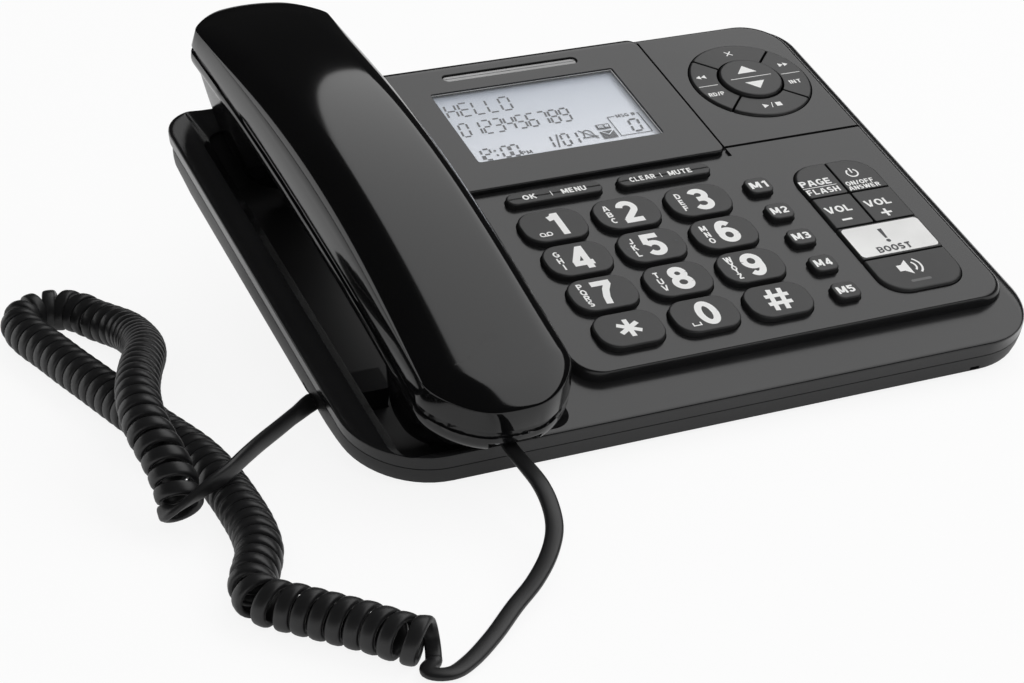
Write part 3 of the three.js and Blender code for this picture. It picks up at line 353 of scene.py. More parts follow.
seam = (-119.4, 117.6, -89.0, 94.5)
seam_z = 5.7
deck_z = 10.5
seam_radii = (27, 14, 13, 25)
edge_widths = (0.9, 6.9, 0.9, 2.5)
edge_falls = (0.9, 4.8, 0.9, 2.5)
plate = (-45, 111, -72.1, 92.4)
plate_top = (-44.3, 107.8, -71.4, 89.6)
plate_z = 14.2
plate_radii = (11, 14.5, 4, 9)
well_top = (-111.6, -53.8, -87.0, 99)
well_floor = (-106.2, -60.0, -83.4, 84)
well_z = 5.2
well_radii = (7, 6, 6, 7)
nav_groove = around(82.3, 23.9, 57.4, 1.2)
panel_groove = (53, 55.7, 18.9, 89)
plunger_box = around(-83.2, 62, 9, 12)
digit_names = ("1", "2", "3", "4", "5", "6", "7", "8", "9", "star", "0", "hash")
digit_pitch_x, digit_pitch_y = 26.4, 17.95
memory_pitch = 14.37
key_boxes = {}
for i, name in enumerate(digit_names):
    x, y = -22 + digit_pitch_x * (i % 3), -2.8 - digit_pitch_y * (i // 3)
    key_boxes["key_" + name] = (around(x, y, 22.5, 15.6), 6.2)
for i in range(5):
    key_boxes[f"memory_key_{i + 1}"] = (around(54.65, -0.66 - memory_pitch * i, 9, 7.9), 2.4)
for side, x in (("left", -14.1), ("right", 26.1)):
    key_boxes["soft_key_" + side] = (around(x, 12.8, 34.2, 5.6), 2.6)
cluster_box = around(84.2, -28.6, 31, 69.4)
cluster_radius = 9.2
dial_x, dial_y = 84, 57.7
dial_radius = 21.7
glass_box = around(3.1, 54.45, 68, 39.3)
module_box = grown(glass_box, 2)
black = (0.011, 0.011, 0.0115)
shell_satin = moulded("shell_satin", black, 0.2, grain=0.08)


def well(grow):
    """The inside of the cradle, or, grown, the outside of its wall."""
    wide_share = 1.5
    high = well_z + wide_share * (deck_z - well_z)
    return loft("well", [
        box_ring(grown(well_floor, grow), well_radii, well_z - grow),
        box_ring(grown(mixed(well_floor, well_top, wide_share), grow), well_radii, high),
    ])


def hole(box, radius, low=deck_z - wall - over, high=plate_z + over):
    """A hole for what stands in a box, wider by the fit."""
    return prism("hole", grown(box, fit_gap), radius + fit_gap, low, high)


def dial_ring(radius, z, steps=96):
    """A circle about the middle of the dial, at a height."""
    turn = np.linspace(0, 2 * np.pi, steps, endpoint=False)
    x, y = dial_x + radius * np.cos(turn), dial_y + radius * np.sin(turn)
    return np.stack([x, y, np.full(steps, float(z))], 1)


def edge_inset(z, wide, fall):
    """How far an edge has come in at a height, as a quarter ellipse: wide (1 - sqrt(1 - s^2))."""
    share = min(max((z - deck_z) / fall + 1, 0), 1)
    return wide * (1 - math.sqrt(1 - share ** 2))


def skirt_ring(z, by=0.0):
    """Outline of the upper shell at a height, drawn in by a wall. Its left side leans out."""
    left, right, front, back = (edge_inset(z, w, f) + by for w, f in zip(edge_widths, edge_falls))
    lean = 0.2 * (min(z, deck_z - 1) - seam_z)
    box = (seam[0] - lean + left, seam[1] - right, seam[2] + front, seam[3] - back)
    insets = (1.6 * right, back, left, front)
    return box_ring(box, [radius - inset for radius, inset in zip(seam_radii, insets)], z)


levels = [seam_z, *(deck_z - 4.5 * np.linspace(1, 0.24, 8)),
          *(deck_z - 0.9 * (1 - np.sin(np.linspace(0, np.pi / 2, 8))))]
upper = loft("base_upper", [*map(skirt_ring, levels), skirt_ring(deck_z, 0.5)], shell_satin)
key_plate = loft("plate", rolled(plate, plate_top, plate_radii, deck_z - 1.1, plate_z))
boolean(upper, [key_plate], "UNION")
hollow = loft("hollow", [skirt_ring(seam_z, wall) - (0, 0, over), skirt_ring(deck_z - wall, wall)])
under_plate = prism("under", grown(plate_top, -wall), less(plate_radii, wall),
                    deck_z - wall - over, plate_z - wall)
boolean(hollow, [under_plate], "UNION")
boolean(hollow, [well(wall)])
cuts = [
    hollow, well(0), *(hole(box, radius) for box, radius in key_boxes.values()),
    hole(cluster_box, cluster_radius),
    loft("dial", [dial_ring(dial_radius + fit_gap, z) for z in (7, plate_z + over)]),
    hole(module_box, 0.6),
    *(prism("groove", box, 0.1, plate_z - 0.9, plate_z + over, 2)
      for box in (nav_groove, panel_groove)),
    hole(plunger_box, 2, well_z - wall - over, well_z + over),
]
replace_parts(settle(boolean(upper, cuts), edge=0.25), "base_upper_shell")


# Body, lower shell. A shallow pan whose rim meets the upper shell at a fine seam, over a deeper
# belly. It has the pockets of three sockets, the slots of the loudspeaker and a slot for the
# front microphone.
hull_z = -10.5
rim_z = seam_z - 0.3
hull_side = 11
ground_slope = math.tan(tip)
back_depths, back_insets = (0, 1.5, 10.5), (3.3, 10.5, 18.5)
shell_matt = moulded("shell_matt", black, 0.42, grain=0.2)


def hull_rings():
    """Rings of the hull: upright at its rim and flat at the bottom, as a quarter ellipse on each
    side. Its front rises with the table, and its back steps in below the pan."""
    rings = []
    for a in np.pi / 2 * np.linspace(0, 1, 15):
        z = rim_z - (rim_z - hull_z) * math.sin(a)
        come_in = 1 - math.cos(a)
        inset = hull_side * come_in
        front = max(0.0, -z) / ground_slope + 2.5 * come_in
        back = float(np.interp(-z, back_depths, back_insets))
        box = (seam[0] + inset, seam[1] - inset, seam[2] + front, seam[3] - back)
        rings.append(box_ring(box, [r + (16 - r / 3) * come_in * 1.6 for r in seam_radii], z))
    return rings


lower = loft("base_lower", hull_rings(), shell_matt)
inside_boxes = (
    ((seam[0] + hull_side, seam[1] - hull_side, -52, 76), hull_z + wall),
    ((seam[0] + 4, seam[1] - 4, -84, 86), 2.5), (seam, rim_z + over),
)
tools = [loft("inside", [box_ring(grown(box, -wall), 14, z) for box, z in inside_boxes])]
tools += [
    prism("jack", (seam[0] - over, -93.65, -44.8, -34.4), 0.3, -8.75, -0.25, 2),
    prism("line", around(60, 78, 13.1, 31), 0.3, -8.75, -0.05, 2),
    prism("power", around(84, 78, 10.7, 31), 0.3, -8.35, -0.45, 2),
]
slot_low, slot_high = hull_z - over, hull_z + wall + over
tools += [prism("slot", around(52, 32 + 4.6 * i, 30, 2), 0.66, slot_low, slot_high, 3)
          for i in range(-3, 4)]
tools.append(prism("microphone", around(88, seam[2], 3.4, 2.4), 0.6, 0.4, 1.6, 4))
boolean(lower, tools)
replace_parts(settle(lower, edge=0.2), "base_lower_shell")


# Display. A gloss frame round a clear window, with the dark segments of the screen printed below
# it. The message lamp is a smoked bar above the window.
panel = (-44.7, 53.6, 20.2, 90.2)
panel_top = (-44.2, 53.1, 20.7, 86.9)
panel_radii = (2.2, 3, 3, 2.2)
panel_z = plate_z + 2
glass_top = panel_z - 0.4
glass_thick = 1.4
screen_z = glass_top - glass_thick - 0.3
print_lift = 0.02
lamp_box = around(2.2, 82.2, 50.4, 3.3)
frame_gloss = moulded("frame_gloss", (0.009, 0.009, 0.0095), 0.14, uneven=0.03)
# The smoked grey of the message lamp, also used for the painted highlight along the window's edges.
lamp_smoke_and_glint = moulded("lamp_smoke_and_glint", (0.3, 0.3, 0.3), 0.3, coat=0.4)


def plain(name, shade, roughness, alpha=1.0):
    """An ink, or a clear sheet, that is the same all over."""
    material, start = new_material(name)
    return finish_material(material, start.node(
        "ShaderNodeBsdfPrincipled", Base_Color=(*shade, 1), Roughness=roughness, Alpha=alpha))


ink_dark = plain("ink_dark", (0.03, 0.032, 0.036), 0.4)
segment_grey = plain("segment_grey", (0.06, 0.062, 0.07), 0.4)
ink_white = plain("ink_white", (0.86, 0.86, 0.85), 0.5)
window_clear = plain("window_clear", (0.9, 0.93, 0.96), 0.03, 0.06)

# Painted shade: the screen's pale blue-grey darkens towards the back of the window, under the
# frame.
screen, start = new_material("screen")
where = start.node("ShaderNodeTexCoord", output=3)
painted_shade_y = start.node("ShaderNodeSeparateXYZ", Vector=where, output=1)
down = start.node("ShaderNodeMapRange", Value=painted_shade_y, From_Min=0.036, From_Max=0.078)
shade = down.ramp((0.0, (0.78, 0.81, 0.87)), (0.6, (0.60, 0.64, 0.71)), (1.0, (0.36, 0.40, 0.48)))
finish_material(screen, start.node("ShaderNodeBsdfPrincipled", Base_Color=shade, Roughness=0.35))


def flat(name, outlines, z, material=ink_white):
    """Flat marks at a height: each outline is a closed run of points, in millimetres. Each lies a
    thousandth over the one before, so that where two overlap they don't fight."""
    points = [(x, y, z + i * 0.001) for i, outline in enumerate(outlines) for x, y in outline]
    ends = np.cumsum([len(outline) for outline in outlines])
    faces = [list(range(end - len(outline), end)) for end, outline in zip(ends, outlines)]
    return skin(name, points, faces, material)


def unit(vectors):
    """The same directions with a length of one."""
    return vectors / np.linalg.norm(vectors, axis=-1, keepdims=True)


def ribbon(points, width):
    """Quads of a stroke along points, mitred where it turns: each point moves out along
    (m + n) / (1 + m.n), where m and n are the normals of the two runs that meet there."""
    points = np.asarray(points, float)
    run = unit(np.diff(points, axis=0))
    normal = np.stack([-run[:, 1], run[:, 0]], 1)
    m, n = np.vstack([normal[:1], normal]), np.vstack([normal, normal[-1:]])
    side = (m + n) / (1 + (m * n).sum(1))[:, None] * width / 2
    left, right = points + side, points - side
    return list(np.stack([left[:-1], right[:-1], right[1:], left[1:]], 1))


def bar(x0, y0, x1, y1, width):
    """Outline of a straight stroke with square ends."""
    return ribbon([(x0, y0), (x1, y1)], width)[0]


def bow(x, y, half_wide, half_high, low=0, high=360, steps=32):
    """Points along an ellipse, (x + a cos t, y + b sin t), from one angle to another in degrees."""
    turn = np.radians(np.linspace(low, high, steps))
    return np.stack([x + half_wide * np.cos(turn), y + half_high * np.sin(turn)], 1)


def small_rings(places, radius, width):
    """Quads of a small ring about each of a few places."""
    return [quad for x, y in places for quad in ribbon(bow(x, y, radius, radius), width)]


# The strokes of each letter about its middle, for letters of this height and weight.
GLYPH_HIGH, GLYPH_STROKE = 10.2, 2.1
STEM = [(-2.5, -5.1), (-2.5, 5.1)]
RIGHT_STEM = [(2.6, -5.1), (2.6, 5.1)]
BOWL = [(-1.6, 4.1), *bow(0.3, 2, 2.2, 2.1, 90, -90, 12), (-1.6, -0.1)]
ROUND = bow(0, 0, 3, 4.1)
SIX = [bow(0.1, 0, 2.35, 4.1, 48, 200, 20), bow(0, -1.65, 2.3, 2.45)]
GLYPHS = {
    "0": [bow(0, 0, 2.3, 4.1)],
    "1": [[(0.7, -5.1), (0.7, 5.1)], [(-2.1, 2.75), (-0.9, 3.05), (0, 3.75), (0.4, 4.7)]],
    "2": [[*bow(0, 1.8, 2.25, 2.3, 168, -38, 20), (-1.9, -3.5)], [(-2.95, -4.05), (3.1, -4.05)]],
    "3": [bow(-0.1, 2.1, 2.15, 2, 155, -90, 20), bow(-0.1, -1.95, 2.4, 2.15, 90, -155, 20),
          [(-1.1, 0.15), (0, 0.15)]],
    "4": [[(1.3, -5.1), (1.3, 5.1)], [(1.1, 4.4), (-2.5, -2)], [(-3.3, -2.5), (3.1, -2.5)]],
    "5": [[(2.7, 4.05), (-1.7, 4.05), (-2.1, 0.5)], bow(-0.1, -1.55, 2.35, 2.5, 142, -152, 20)],
    "6": SIX,
    "7": [[(-3, 4.05), (3.1, 4.05)], [(2.3, 3.8), (0.5, 1), (-0.6, -2), (-1, -5.1)]],
    "8": [bow(0, 2.2, 1.95, 1.9), bow(0, -1.9, 2.35, 2.2)],
    "9": [-SIX[0], -SIX[1]],
    "A": [[(-3.3, -5.1), (-0.6, 5.1)], [(3.3, -5.1), (0.6, 5.1)], [(-2, -2), (2, -2)]],
    "B": [STEM, BOWL, [(-1.6, -0.1), *bow(0.5, -2.1, 2.2, 2, 90, -90, 12), (-1.6, -4.1)]],
    "C": [bow(0, 0, 3, 4.1, 48, 312, 24)],
    "D": [STEM, [(-1.6, 4.1), *bow(-0.3, 0, 3, 4.1, 90, -90, 20), (-1.6, -4.1)]],
    "E": [STEM, [(-1.6, 4.1), (2.6, 4.1)], [(-1.6, 0), (2.2, 0)], [(-1.6, -4.1), (2.7, -4.1)]],
    "F": [STEM, [(-1.6, 4.1), (2.6, 4.1)], [(-1.6, 0), (2.2, 0)]],
    "G": [bow(0, 0, 3, 4.1, 45, 318, 24), [(0.3, -0.5), (2.6, -0.5), (2.6, -4)]],
    "H": [STEM, RIGHT_STEM, [(-1.6, 0), (1.6, 0)]],
    "I": [[(0, -5.1), (0, 5.1)]],
    "J": [[(1.7, 5.1), *bow(-0.3, -2.1, 2, 2, 0, -165, 14)]],
    "K": [STEM, [(2.8, 5.1), (-1.7, -0.4)], [(-0.5, 0.9), (3, -5.1)]],
    "L": [STEM, [(-1.6, -4.1), (2.4, -4.1)]],
    "M": [[(-3.4, -5.1), (-3.4, 5.1)], [(3.4, -5.1), (3.4, 5.1)],
          [(-3, 5), (-0.3, -3.5)], [(3, 5), (0.3, -3.5)]],
    "N": [STEM, RIGHT_STEM, [(-2.2, 4.6), (2.3, -4.6)]],
    "O": [ROUND],
    "P": [STEM, BOWL],
    "Q": [ROUND, [(0.6, -2.2), (3, -5)]],
    "R": [STEM, BOWL, [(0.2, -0.2), (2.6, -5.1)]],
    "S": [[*bow(0, 2.1, 2.3, 2, 32, 270, 14), *bow(0, -1.95, 2.45, 2.1, 90, -150, 14)[1:]]],
    "T": [[(-3.1, 4.05), (3.1, 4.05)], [(0, 3.2), (0, -5.1)]],
    "U": [[(-2.6, 5.1), *bow(0, -1.5, 2.6, 2.6, 180, 360, 14), (2.6, 5.1)]],
    "V": [[(-3.1, 5.1), (-0.4, -5.1)], [(3.1, 5.1), (0.4, -5.1)]],
    "W": [[(-4.4, 5.1), (-2.6, -5.1)], [(-2, -5.1), (-0.3, 4.8)],
          [(0.3, 4.8), (2, -5.1)], [(4.4, 5.1), (2.6, -5.1)]],
    "X": [[(-2.9, 5.1), (2.9, -5.1)], [(-2.9, -5.1), (2.9, 5.1)]],
    "Y": [[(-3, 5.1), (0, -0.4)], [(3, 5.1), (0, -0.4)], [(0, 0.3), (0, -5.1)]],
    "Z": [[(-2.7, 4.05), (2.8, 4.05)], [(2.2, 3.4), (-2.2, -3.4)], [(-2.8, -4.05), (2.8, -4.05)]],
    "/": [[(-1.5, -5.1), (1.5, 5.1)]],
    "*": [[(-3.7 * c, -3.7 * s), (3.7 * c, 3.7 * s)]
          for c, s in ((0, 1), (0.866, 0.5), (0.866, -0.5))],
    "#": [[(-2.5, -4.6), (-1.2, 4.6)], [(0.9, -4.6), (2.2, 4.6)],
          [(-3.7, 1.7), (4, 1.7)], [(-4, -1.6), (3.7, -1.6)]],
}


def lettering(text, x, y, height, z, width=None, material=ink_white, stroke=GLYPH_STROKE):
    """Bold upright letters about a point, drawn in strokes and scaled to a height, and to a width
    where one is given."""
    gap, space = 1.1, 3
    quads, reach = [], 0
    for letter in text:
        if letter == " ":
            reach += space
            continue
        lines = [np.asarray(line, float) for line in GLYPHS[letter]]
        low, high = (end([end(line[:, 0]) for line in lines]) for end in (min, max))
        moved = (reach - low + stroke / 2, 0)
        quads += [quad + moved for line in lines for quad in ribbon(line, stroke)]
        reach += high - low + stroke + gap
    reach -= gap
    tall = height / GLYPH_HIGH
    scale = (width / reach if width else tall, tall)
    quads = [(quad - (reach / 2, 0)) * scale + (x, y) for quad in quads]
    return flat("letters", quads, z, material)


SEGMENTS = {
    "0": "abcdef", "1": "bc", "2": "abged", "3": "abgcd", "4": "fgbc", "5": "afgcd",
    "6": "afgecd", "7": "abc", "8": "abcdefg", "9": "abcdfg", "H": "fegbc", "E": "afged",
    "L": "fed", "O": "abcdef",
}
SEGMENT_ENDS = {
    "a": (0, 1, 1, 1), "b": (1, 1, 1, 0.5), "c": (1, 0.5, 1, 0), "d": (1, 0, 0, 0),
    "e": (0, 0, 0, 0.5), "f": (0, 0.5, 0, 1), "g": (0, 0.5, 1, 0.5),
}


def segment_marks(text, x, y, width, height, pitch, stroke=0.75, lean=0.10):
    """Outlines of seven-segment characters that lean right, from their lower left corner."""
    marks = []
    for place, letter in enumerate(text):
        for name in SEGMENTS.get(letter, ""):
            start, end = np.array(SEGMENT_ENDS[name]).reshape(2, 2) * (width, height)
            inset = unit(end - start) * stroke * 0.62
            upright = bar(*(start + inset), *(end - inset), stroke)
            marks.append(upright @ ((1, 0), (lean, 1)) + (x + place * pitch, y))
    return marks


slab = loft("display_frame", rolled(
    panel, panel_top, panel_radii, panel_z - 1.2, panel_z,
    foot=[box_ring(panel, panel_radii, plate_z + 0.3)]), frame_gloss)
window_cut = prism("window", grown(glass_box, fit_gap), 0.9, plate_z - over, panel_z + over, 6)
lamp_cut = prism("lamp", grown(lamp_box, fit_gap), 1.65 + fit_gap, plate_z - over, panel_z + over)
boolean(slab, [window_cut, lamp_cut])
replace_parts(settle(slab, edge=0.15), "display_panel")

glass_left, glass_right, glass_front, glass_back = glass_box
pane = loft("window", rolled(
    glass_box, grown(glass_box, -0.2), 0.6, glass_top - 0.2, glass_top, 3,
    [box_ring(glass_box, 0.6, glass_top - glass_thick)]), window_clear)
# Painted highlight: two light lines along the back and right edges of the glass, where its edge
# catches the light.
painted_edge_highlight = flat("painted_edge_highlight", [
    bar(glass_left, glass_back - 0.15, glass_right, glass_back - 0.15, 0.3),
    bar(glass_right - 0.15, glass_front, glass_right - 0.15, glass_back - 0.3, 0.3),
], glass_top + print_lift, lamp_smoke_and_glint)
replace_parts(settle(pane, prints=[painted_edge_highlight]), "display_window")
lens = loft("message_lamp", rolled(
    lamp_box, grown(lamp_box, -0.5), 1.3, panel_z - 0.9, panel_z - 0.5, 4,
    [box_ring(lamp_box, 1.3, panel_z - 1.7)]), lamp_smoke_and_glint)
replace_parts(settle(lens), "message_lamp_lens")

figure_rows = (
    ("HELLO", 1.9, 11.6, 3.6, 7.4, 5.0), ("0123456789", 2.2, 22.7, 3.0, 7.3, 4.15),
    ("12 00", 0.8, 36.7, 2.7, 5.9, 3.35), ("1 01", 27.2, 35.8, 2.6, 6.6, 3.2),
)
marks = [mark for text, dx, dy, *sizes in figure_rows
         for mark in segment_marks(text, glass_left + dx, glass_back - dy, *sizes)]
marks += [bar(glass_left + 31.2, glass_back - 36, glass_left + 33.2, glass_back - 29, 0.6)]
marks += small_rings([(glass_left + 8.9, glass_back - drop) for drop in (35, 32.5)], 0.25, 0.45)
marks += segment_marks("0", glass_right - 7.6, glass_back - 33.8, 3.4, 6.6, 4.9)
box_left, box_right = glass_right - 13.2, glass_right - 1.5
box_low, box_high = glass_back - 35.2, glass_back - 24.2
marks += ribbon([
    (glass_right - 10.4, box_high), (box_left, box_high), (box_left, box_low),
    (box_right, box_low), (box_right, box_high), (box_right - 0.6, box_high)], 0.3)
bell_at = (glass_left + 44, glass_back - 31.6)
bell = [(-2.6, -1.7), (-1.8, -1.1), *bow(0, 0.3, 1.6, 1.9, 180, 0, 12),
        (1.8, -1.1), (2.6, -1.7), (-2.6, -1.7)]
marks += ribbon(np.add(bell, bell_at), 0.45)
marks += ribbon(np.add([(-2.7, 2.6), (2.7, -2.9)], bell_at), 0.45)
note_x, new_y, mail_y = glass_left + 50.9, glass_back - 28.8, glass_back - 33.4
marks += [bar(note_x - 2.5, new_y, note_x + 2.5, new_y, 2.8)]
marks += [bar(note_x - 2.65, mail_y, note_x + 2.65, mail_y, 4.2)]
flap = ribbon(np.add([(-2.4, 1.9), (0, -0.3), (2.4, 1.9)], (note_x, mail_y)), 0.35)
segments_z, on_note_z = screen_z + print_lift, screen_z + 0.4
prints = [
    flat("segments", marks, segments_z, segment_grey),
    flat("flap", flap, on_note_z, screen),
    lettering("NEW", note_x, new_y, 1.6, on_note_z, 4.0, screen),
    lettering("PM", glass_left + 19.2, glass_back - 35.8, 1.9, segments_z, 3.8, segment_grey),
    lettering("MSG #", glass_right - 6.2, box_high, 1.9, segments_z, 7.4, segment_grey),
]
module = prism("screen", module_box, 0.6, screen_z - 4.2, screen_z, 2)
module.data.materials.append(screen)
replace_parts(settle(module, prints=prints), "display_module")


# Keys that stand alone. A flange under the plate, a dark skirt and a softly rolled top with its
# legend. Each is pressed straight in, but for the two bars, which rock.
key_z = 16.2
legend_z = key_z + print_lift
flange_z, flange_top = 9.9, 11.1
cut_low = 9
digit_high = 11.2
key_rubber = moulded("key_rubber", (0.017, 0.017, 0.0175), 0.4, grain=0.15, grain_size=0.22)
letter_columns = {
    "2": "ABC", "3": "DEF", "4": "GHI", "5": "JKL", "6": "MNO", "7": "PQRS", "8": "TUV",
    "9": "WXYZ",
}
soft_words = {
    "left": (("OK", -9.1, 4.9), ("MENU", 6.9, 8.8)),
    "right": (("CLEAR", -8.1, 9.4), ("MUTE", 6.0, 8.8)),
}


def key_block(name, box, radius):
    """One free-standing key, from its flange to its top."""
    foot = [box_ring(grown(box, 0.75), radius, z) for z in (flange_z, flange_top)]
    foot.append(box_ring(box, radius, flange_top))
    rings = rolled(box, grown(box, -0.55), radius, key_z - 0.6, key_z, 7, foot)
    return loft(name, rings, key_rubber)


def digit_prints(name, x, y):
    """The large digit of a key in bold strokes, with its letters stacked to the left of it."""
    if name in ("star", "hash"):
        sign = "*" if name == "star" else "#"
        return [lettering(sign, x, y, digit_high, legend_z, stroke=1.5)]
    prints = [lettering(name, x + 0.9, y, digit_high, legend_z)]
    letters = letter_columns.get(name, "")
    pitch = 3.25 if len(letters) < 4 else 2.85
    for row, letter in enumerate(letters):
        drop = (row - (len(letters) - 1) / 2) * pitch
        prints.append(lettering(letter, x - 6.2, y - drop, 2.7, legend_z))
    return prints


for name, (box, radius) in key_boxes.items():
    short = name.split("_")[-1]
    x, y = (box[0] + box[1]) / 2, (box[2] + box[3]) / 2
    if name.startswith("key_"):
        prints = digit_prints(short, x, y)
    elif name.startswith("memory"):
        prints = [lettering("M" + short, x, y, 3.4, legend_z, 6.4)]
    else:
        prints = [lettering(word, x + dx, y, 2.4, legend_z, width)
                  for word, dx, width in soft_words[short]]
        prints.append(flat("rule", [bar(x - 1.2, y - 1.2, x - 1.2, y + 1.2, 0.28)], legend_z))
    if name == "key_1":
        loops = small_rings([(x - 5.7, y - 4.2), (x - 3.3, y - 4.2)], 0.85, 0.45)
        loops.append(bar(x - 5.7, y - 5.05, x - 3.3, y - 5.05, 0.45))
        prints.append(flat("loops", loops, legend_z))
    if name == "key_0":
        cup = np.add([(-6.2, -3.4), (-6.2, -4.8), (-3.6, -4.8), (-3.6, -3.4)], (x, y))
        prints.append(flat("space_mark", ribbon(cup, 0.45), legend_z))
    if name == "key_5":
        nibs = small_rings([(x - 8.7, y), (x + 8.7, y)], 0.25, 0.5)
        prints.append(flat("nibs", nibs, legend_z, ink_dark))
    key = key_block(name + "_cap", box, radius)
    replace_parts(settle(key, body=name, prints=prints), name)


# The block of six keys: one rounded slab, split. Its white key holds the loudness boost.
# Every key is the slab cropped to its own cell, so their rolled edges meet across fine gaps.
block_z = 15.3
split_gap = 0.7
split_x = 83.9
splits_y = (-11.3, -28.1, -45.5)
block_left, block_right, block_front, block_back = cluster_box
half = split_gap / 2
rows = [(block_back + over, splits_y[0] + half), (splits_y[0] - half, splits_y[1] + half),
        (splits_y[1] - half, splits_y[2] + half), (splits_y[2] - half, block_front - over)]
west_side, east_side = (block_left - over, split_x - half), (split_x + half, block_right + over)
whole = (block_left - over, block_right + over)
cells = {
    "page_flash_key": (west_side, rows[0]), "answer_key": (east_side, rows[0]),
    "volume_down_key": (west_side, rows[1]), "volume_up_key": (east_side, rows[1]),
    "boost_key": (whole, rows[2]), "speaker_key": (whole, rows[3]),
}
left_x, right_x, mid_x = 75.3, 90.5, 82.9
z = block_z + print_lift
white_field = moulded("white_field", (0.82, 0.82, 0.81), 0.45)
led_grey = moulded("led_grey", (0.09, 0.09, 0.09), 0.3)
white_box = (block_left + 0.8, block_right - 0.8, rows[2][1] + 0.7, rows[2][0] - 0.7)
call_y, plus_y, warn_y = -1.7, -24.3, -35.2
cone_x, cone_y = mid_x - 0.8, -52.4
power_sign = ribbon(bow(right_x, call_y, 2, 2, 122, 418, 30), 0.6)
power_sign += [bar(right_x, call_y, right_x, call_y + 2.7, 0.6)]
plus = [bar(right_x - 2, plus_y, right_x + 2, plus_y, 0.9)]
plus += [bar(right_x, plus_y + low, right_x, plus_y + high, 0.9)
         for low, high in ((0.45, 2), (-2, -0.45))]
warning = [np.add([(-0.45, -1.6), (0.45, -1.6), (0.8, 3.4), (-0.8, 3.4)], (mid_x, warn_y))]
warning += small_rings([(mid_x, warn_y - 3)], 0.4, 0.8)
speaker_marks = [
    bar(cone_x - 4.2, cone_y, cone_x - 2.4, cone_y, 3),
    np.add([(-2.4, -1.5), (0, -3.6), (0, 3.6), (-2.4, 1.5)], (cone_x, cone_y)),
    *ribbon(bow(cone_x, cone_y, 2.5, 2.5, -50, 50, 16), 0.7),
    *ribbon(bow(cone_x, cone_y, 4.4, 4.4, -50, 50, 20), 0.7),
]
block_prints = {
    "page_flash_key": [
        lettering("PAGE", left_x - 0.2, -3.5, 3.2, z, 12),
        lettering("FLASH", left_x + 0.2, -8.2, 2.8, z, 12.4),
        flat("rule", [bar(left_x - 6.4, -5.9, left_x + 6.6, -5.9, 0.3)], z)],
    "answer_key": [
        flat("power_sign", power_sign, z),
        lettering("ON/OFF", right_x - 0.1, -6.9, 2.2, z, 10.8),
        lettering("ANSWER", right_x + 0.2, -9.5, 2.1, z, 12)],
    "volume_down_key": [
        lettering("VOL", left_x, -18.6, 3.4, z, 10),
        flat("minus", [bar(left_x - 1.9, plus_y, left_x + 1.9, plus_y, 0.9)], z)],
    "volume_up_key": [lettering("VOL", right_x, -18.6, 3.4, z, 10), flat("plus", plus, z)],
    "boost_key": [
        flat("white_field", [box_ring(white_box, 1.6, 0)[:, :2]], z, white_field),
        lettering("BOOST", mid_x, -42, 3, z + 0.03, 13, ink_dark),
        flat("warning", warning, z + 0.03, ink_dark)],
    "speaker_key": [
        flat("speaker_sign", speaker_marks, z),
        flat("led", [box_ring(around(mid_x - 0.3, -59.2, 7.6, 1.2), 0.55, 0)[:, :2]], z, led_grey)],
}
for name, ((left, right), (back, front)) in cells.items():
    key = loft(name + "_cap", rolled(
        cluster_box, grown(cluster_box, -0.9), cluster_radius, block_z - 0.9, block_z, 7,
        [box_ring(cluster_box, cluster_radius, flange_z)]), key_rubber)
    cell = prism("cell", (left, right, front, back), 0.6, cut_low, block_z + over, 4)
    boolean(key, [cell], "INTERSECT")
    slot = "key_white" if name == "boost_key" else "key_black"
    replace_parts(settle(key, body=name, edge=0.35, prints=block_prints[name]), name)


# The dial. Four ring keys, parted along the diagonals, round a middle that rocks up and down.
# Their legends stand in the middle of each key's width.
ring_z = 15.0
hub_z = 16.0
ring_inner = 11.9
hub_radius = 11.2


def disc_stack(name, radius, top):
    """A round block of the dial, with a top edge that rolls over as a quarter circle."""
    roll = 0.9
    turn = np.pi / 2 * np.linspace(0, 1, 7)
    rings = [dial_ring(radius, flange_z)]
    rings += [dial_ring(radius - roll * (1 - math.cos(a)), top - roll + roll * math.sin(a))
              for a in turn]
    return loft(name, [*rings, dial_ring(radius - roll - top_rim, top)], key_rubber)


def dart(x, y, length, half_width):
    """A triangle from the middle of its base, to the right or, for a negative length, the left."""
    side = math.copysign(half_width, length)
    return [(x, y + side), (x, y - side), (x + length, y)]


z = ring_z + print_lift
ring_middle = (dial_radius + ring_inner) / 2
east, west = dial_x + ring_middle - 0.6, dial_x - ring_middle - 0.2
delete_y, play_y = dial_y + ring_middle - 0.4, dial_y - ring_middle + 0.8
ring_prints = {
    "ring_key_forward": [
        flat("forward", [
            dart(east - 1.8, dial_y + 5.6, 1.8, 1.1), dart(east + 0.2, dial_y + 5.6, 1.8, 1.1),
            bar(east - 3.6, dial_y + 0.2, east + 3.8, dial_y + 0.2, 0.3)], z),
        lettering("INT", east - 0.8, dial_y - 5, 2.1, z, 4.8)],
    "ring_key_delete": [
        flat("cross", [bar(dial_x - 1.2, delete_y - rise, dial_x + 1.2, delete_y + rise, 0.45)
                       for rise in (1.2, -1.2)], z)],
    "ring_key_back": [
        flat("back", [
            dart(west + 1.8, dial_y + 5.2, -1.8, 1.1), dart(west - 0.2, dial_y + 5.2, -1.8, 1.1),
            bar(west - 3.6, dial_y - 0.2, west + 3.8, dial_y - 0.2, 0.3)], z),
        lettering("RD/P", west + 0.6, dial_y - 5.4, 2.1, z, 6)],
    "ring_key_play": [
        flat("play", [
            dart(dial_x - 3.6, play_y, 2.2, 1.2),
            bar(dial_x - 0.6, play_y - 1.4, dial_x + 0.3, play_y + 1.4, 0.3),
            bar(dial_x + 1.4, play_y, dial_x + 3.6, play_y, 2.2)], z)],
}
reach = dial_radius * 2
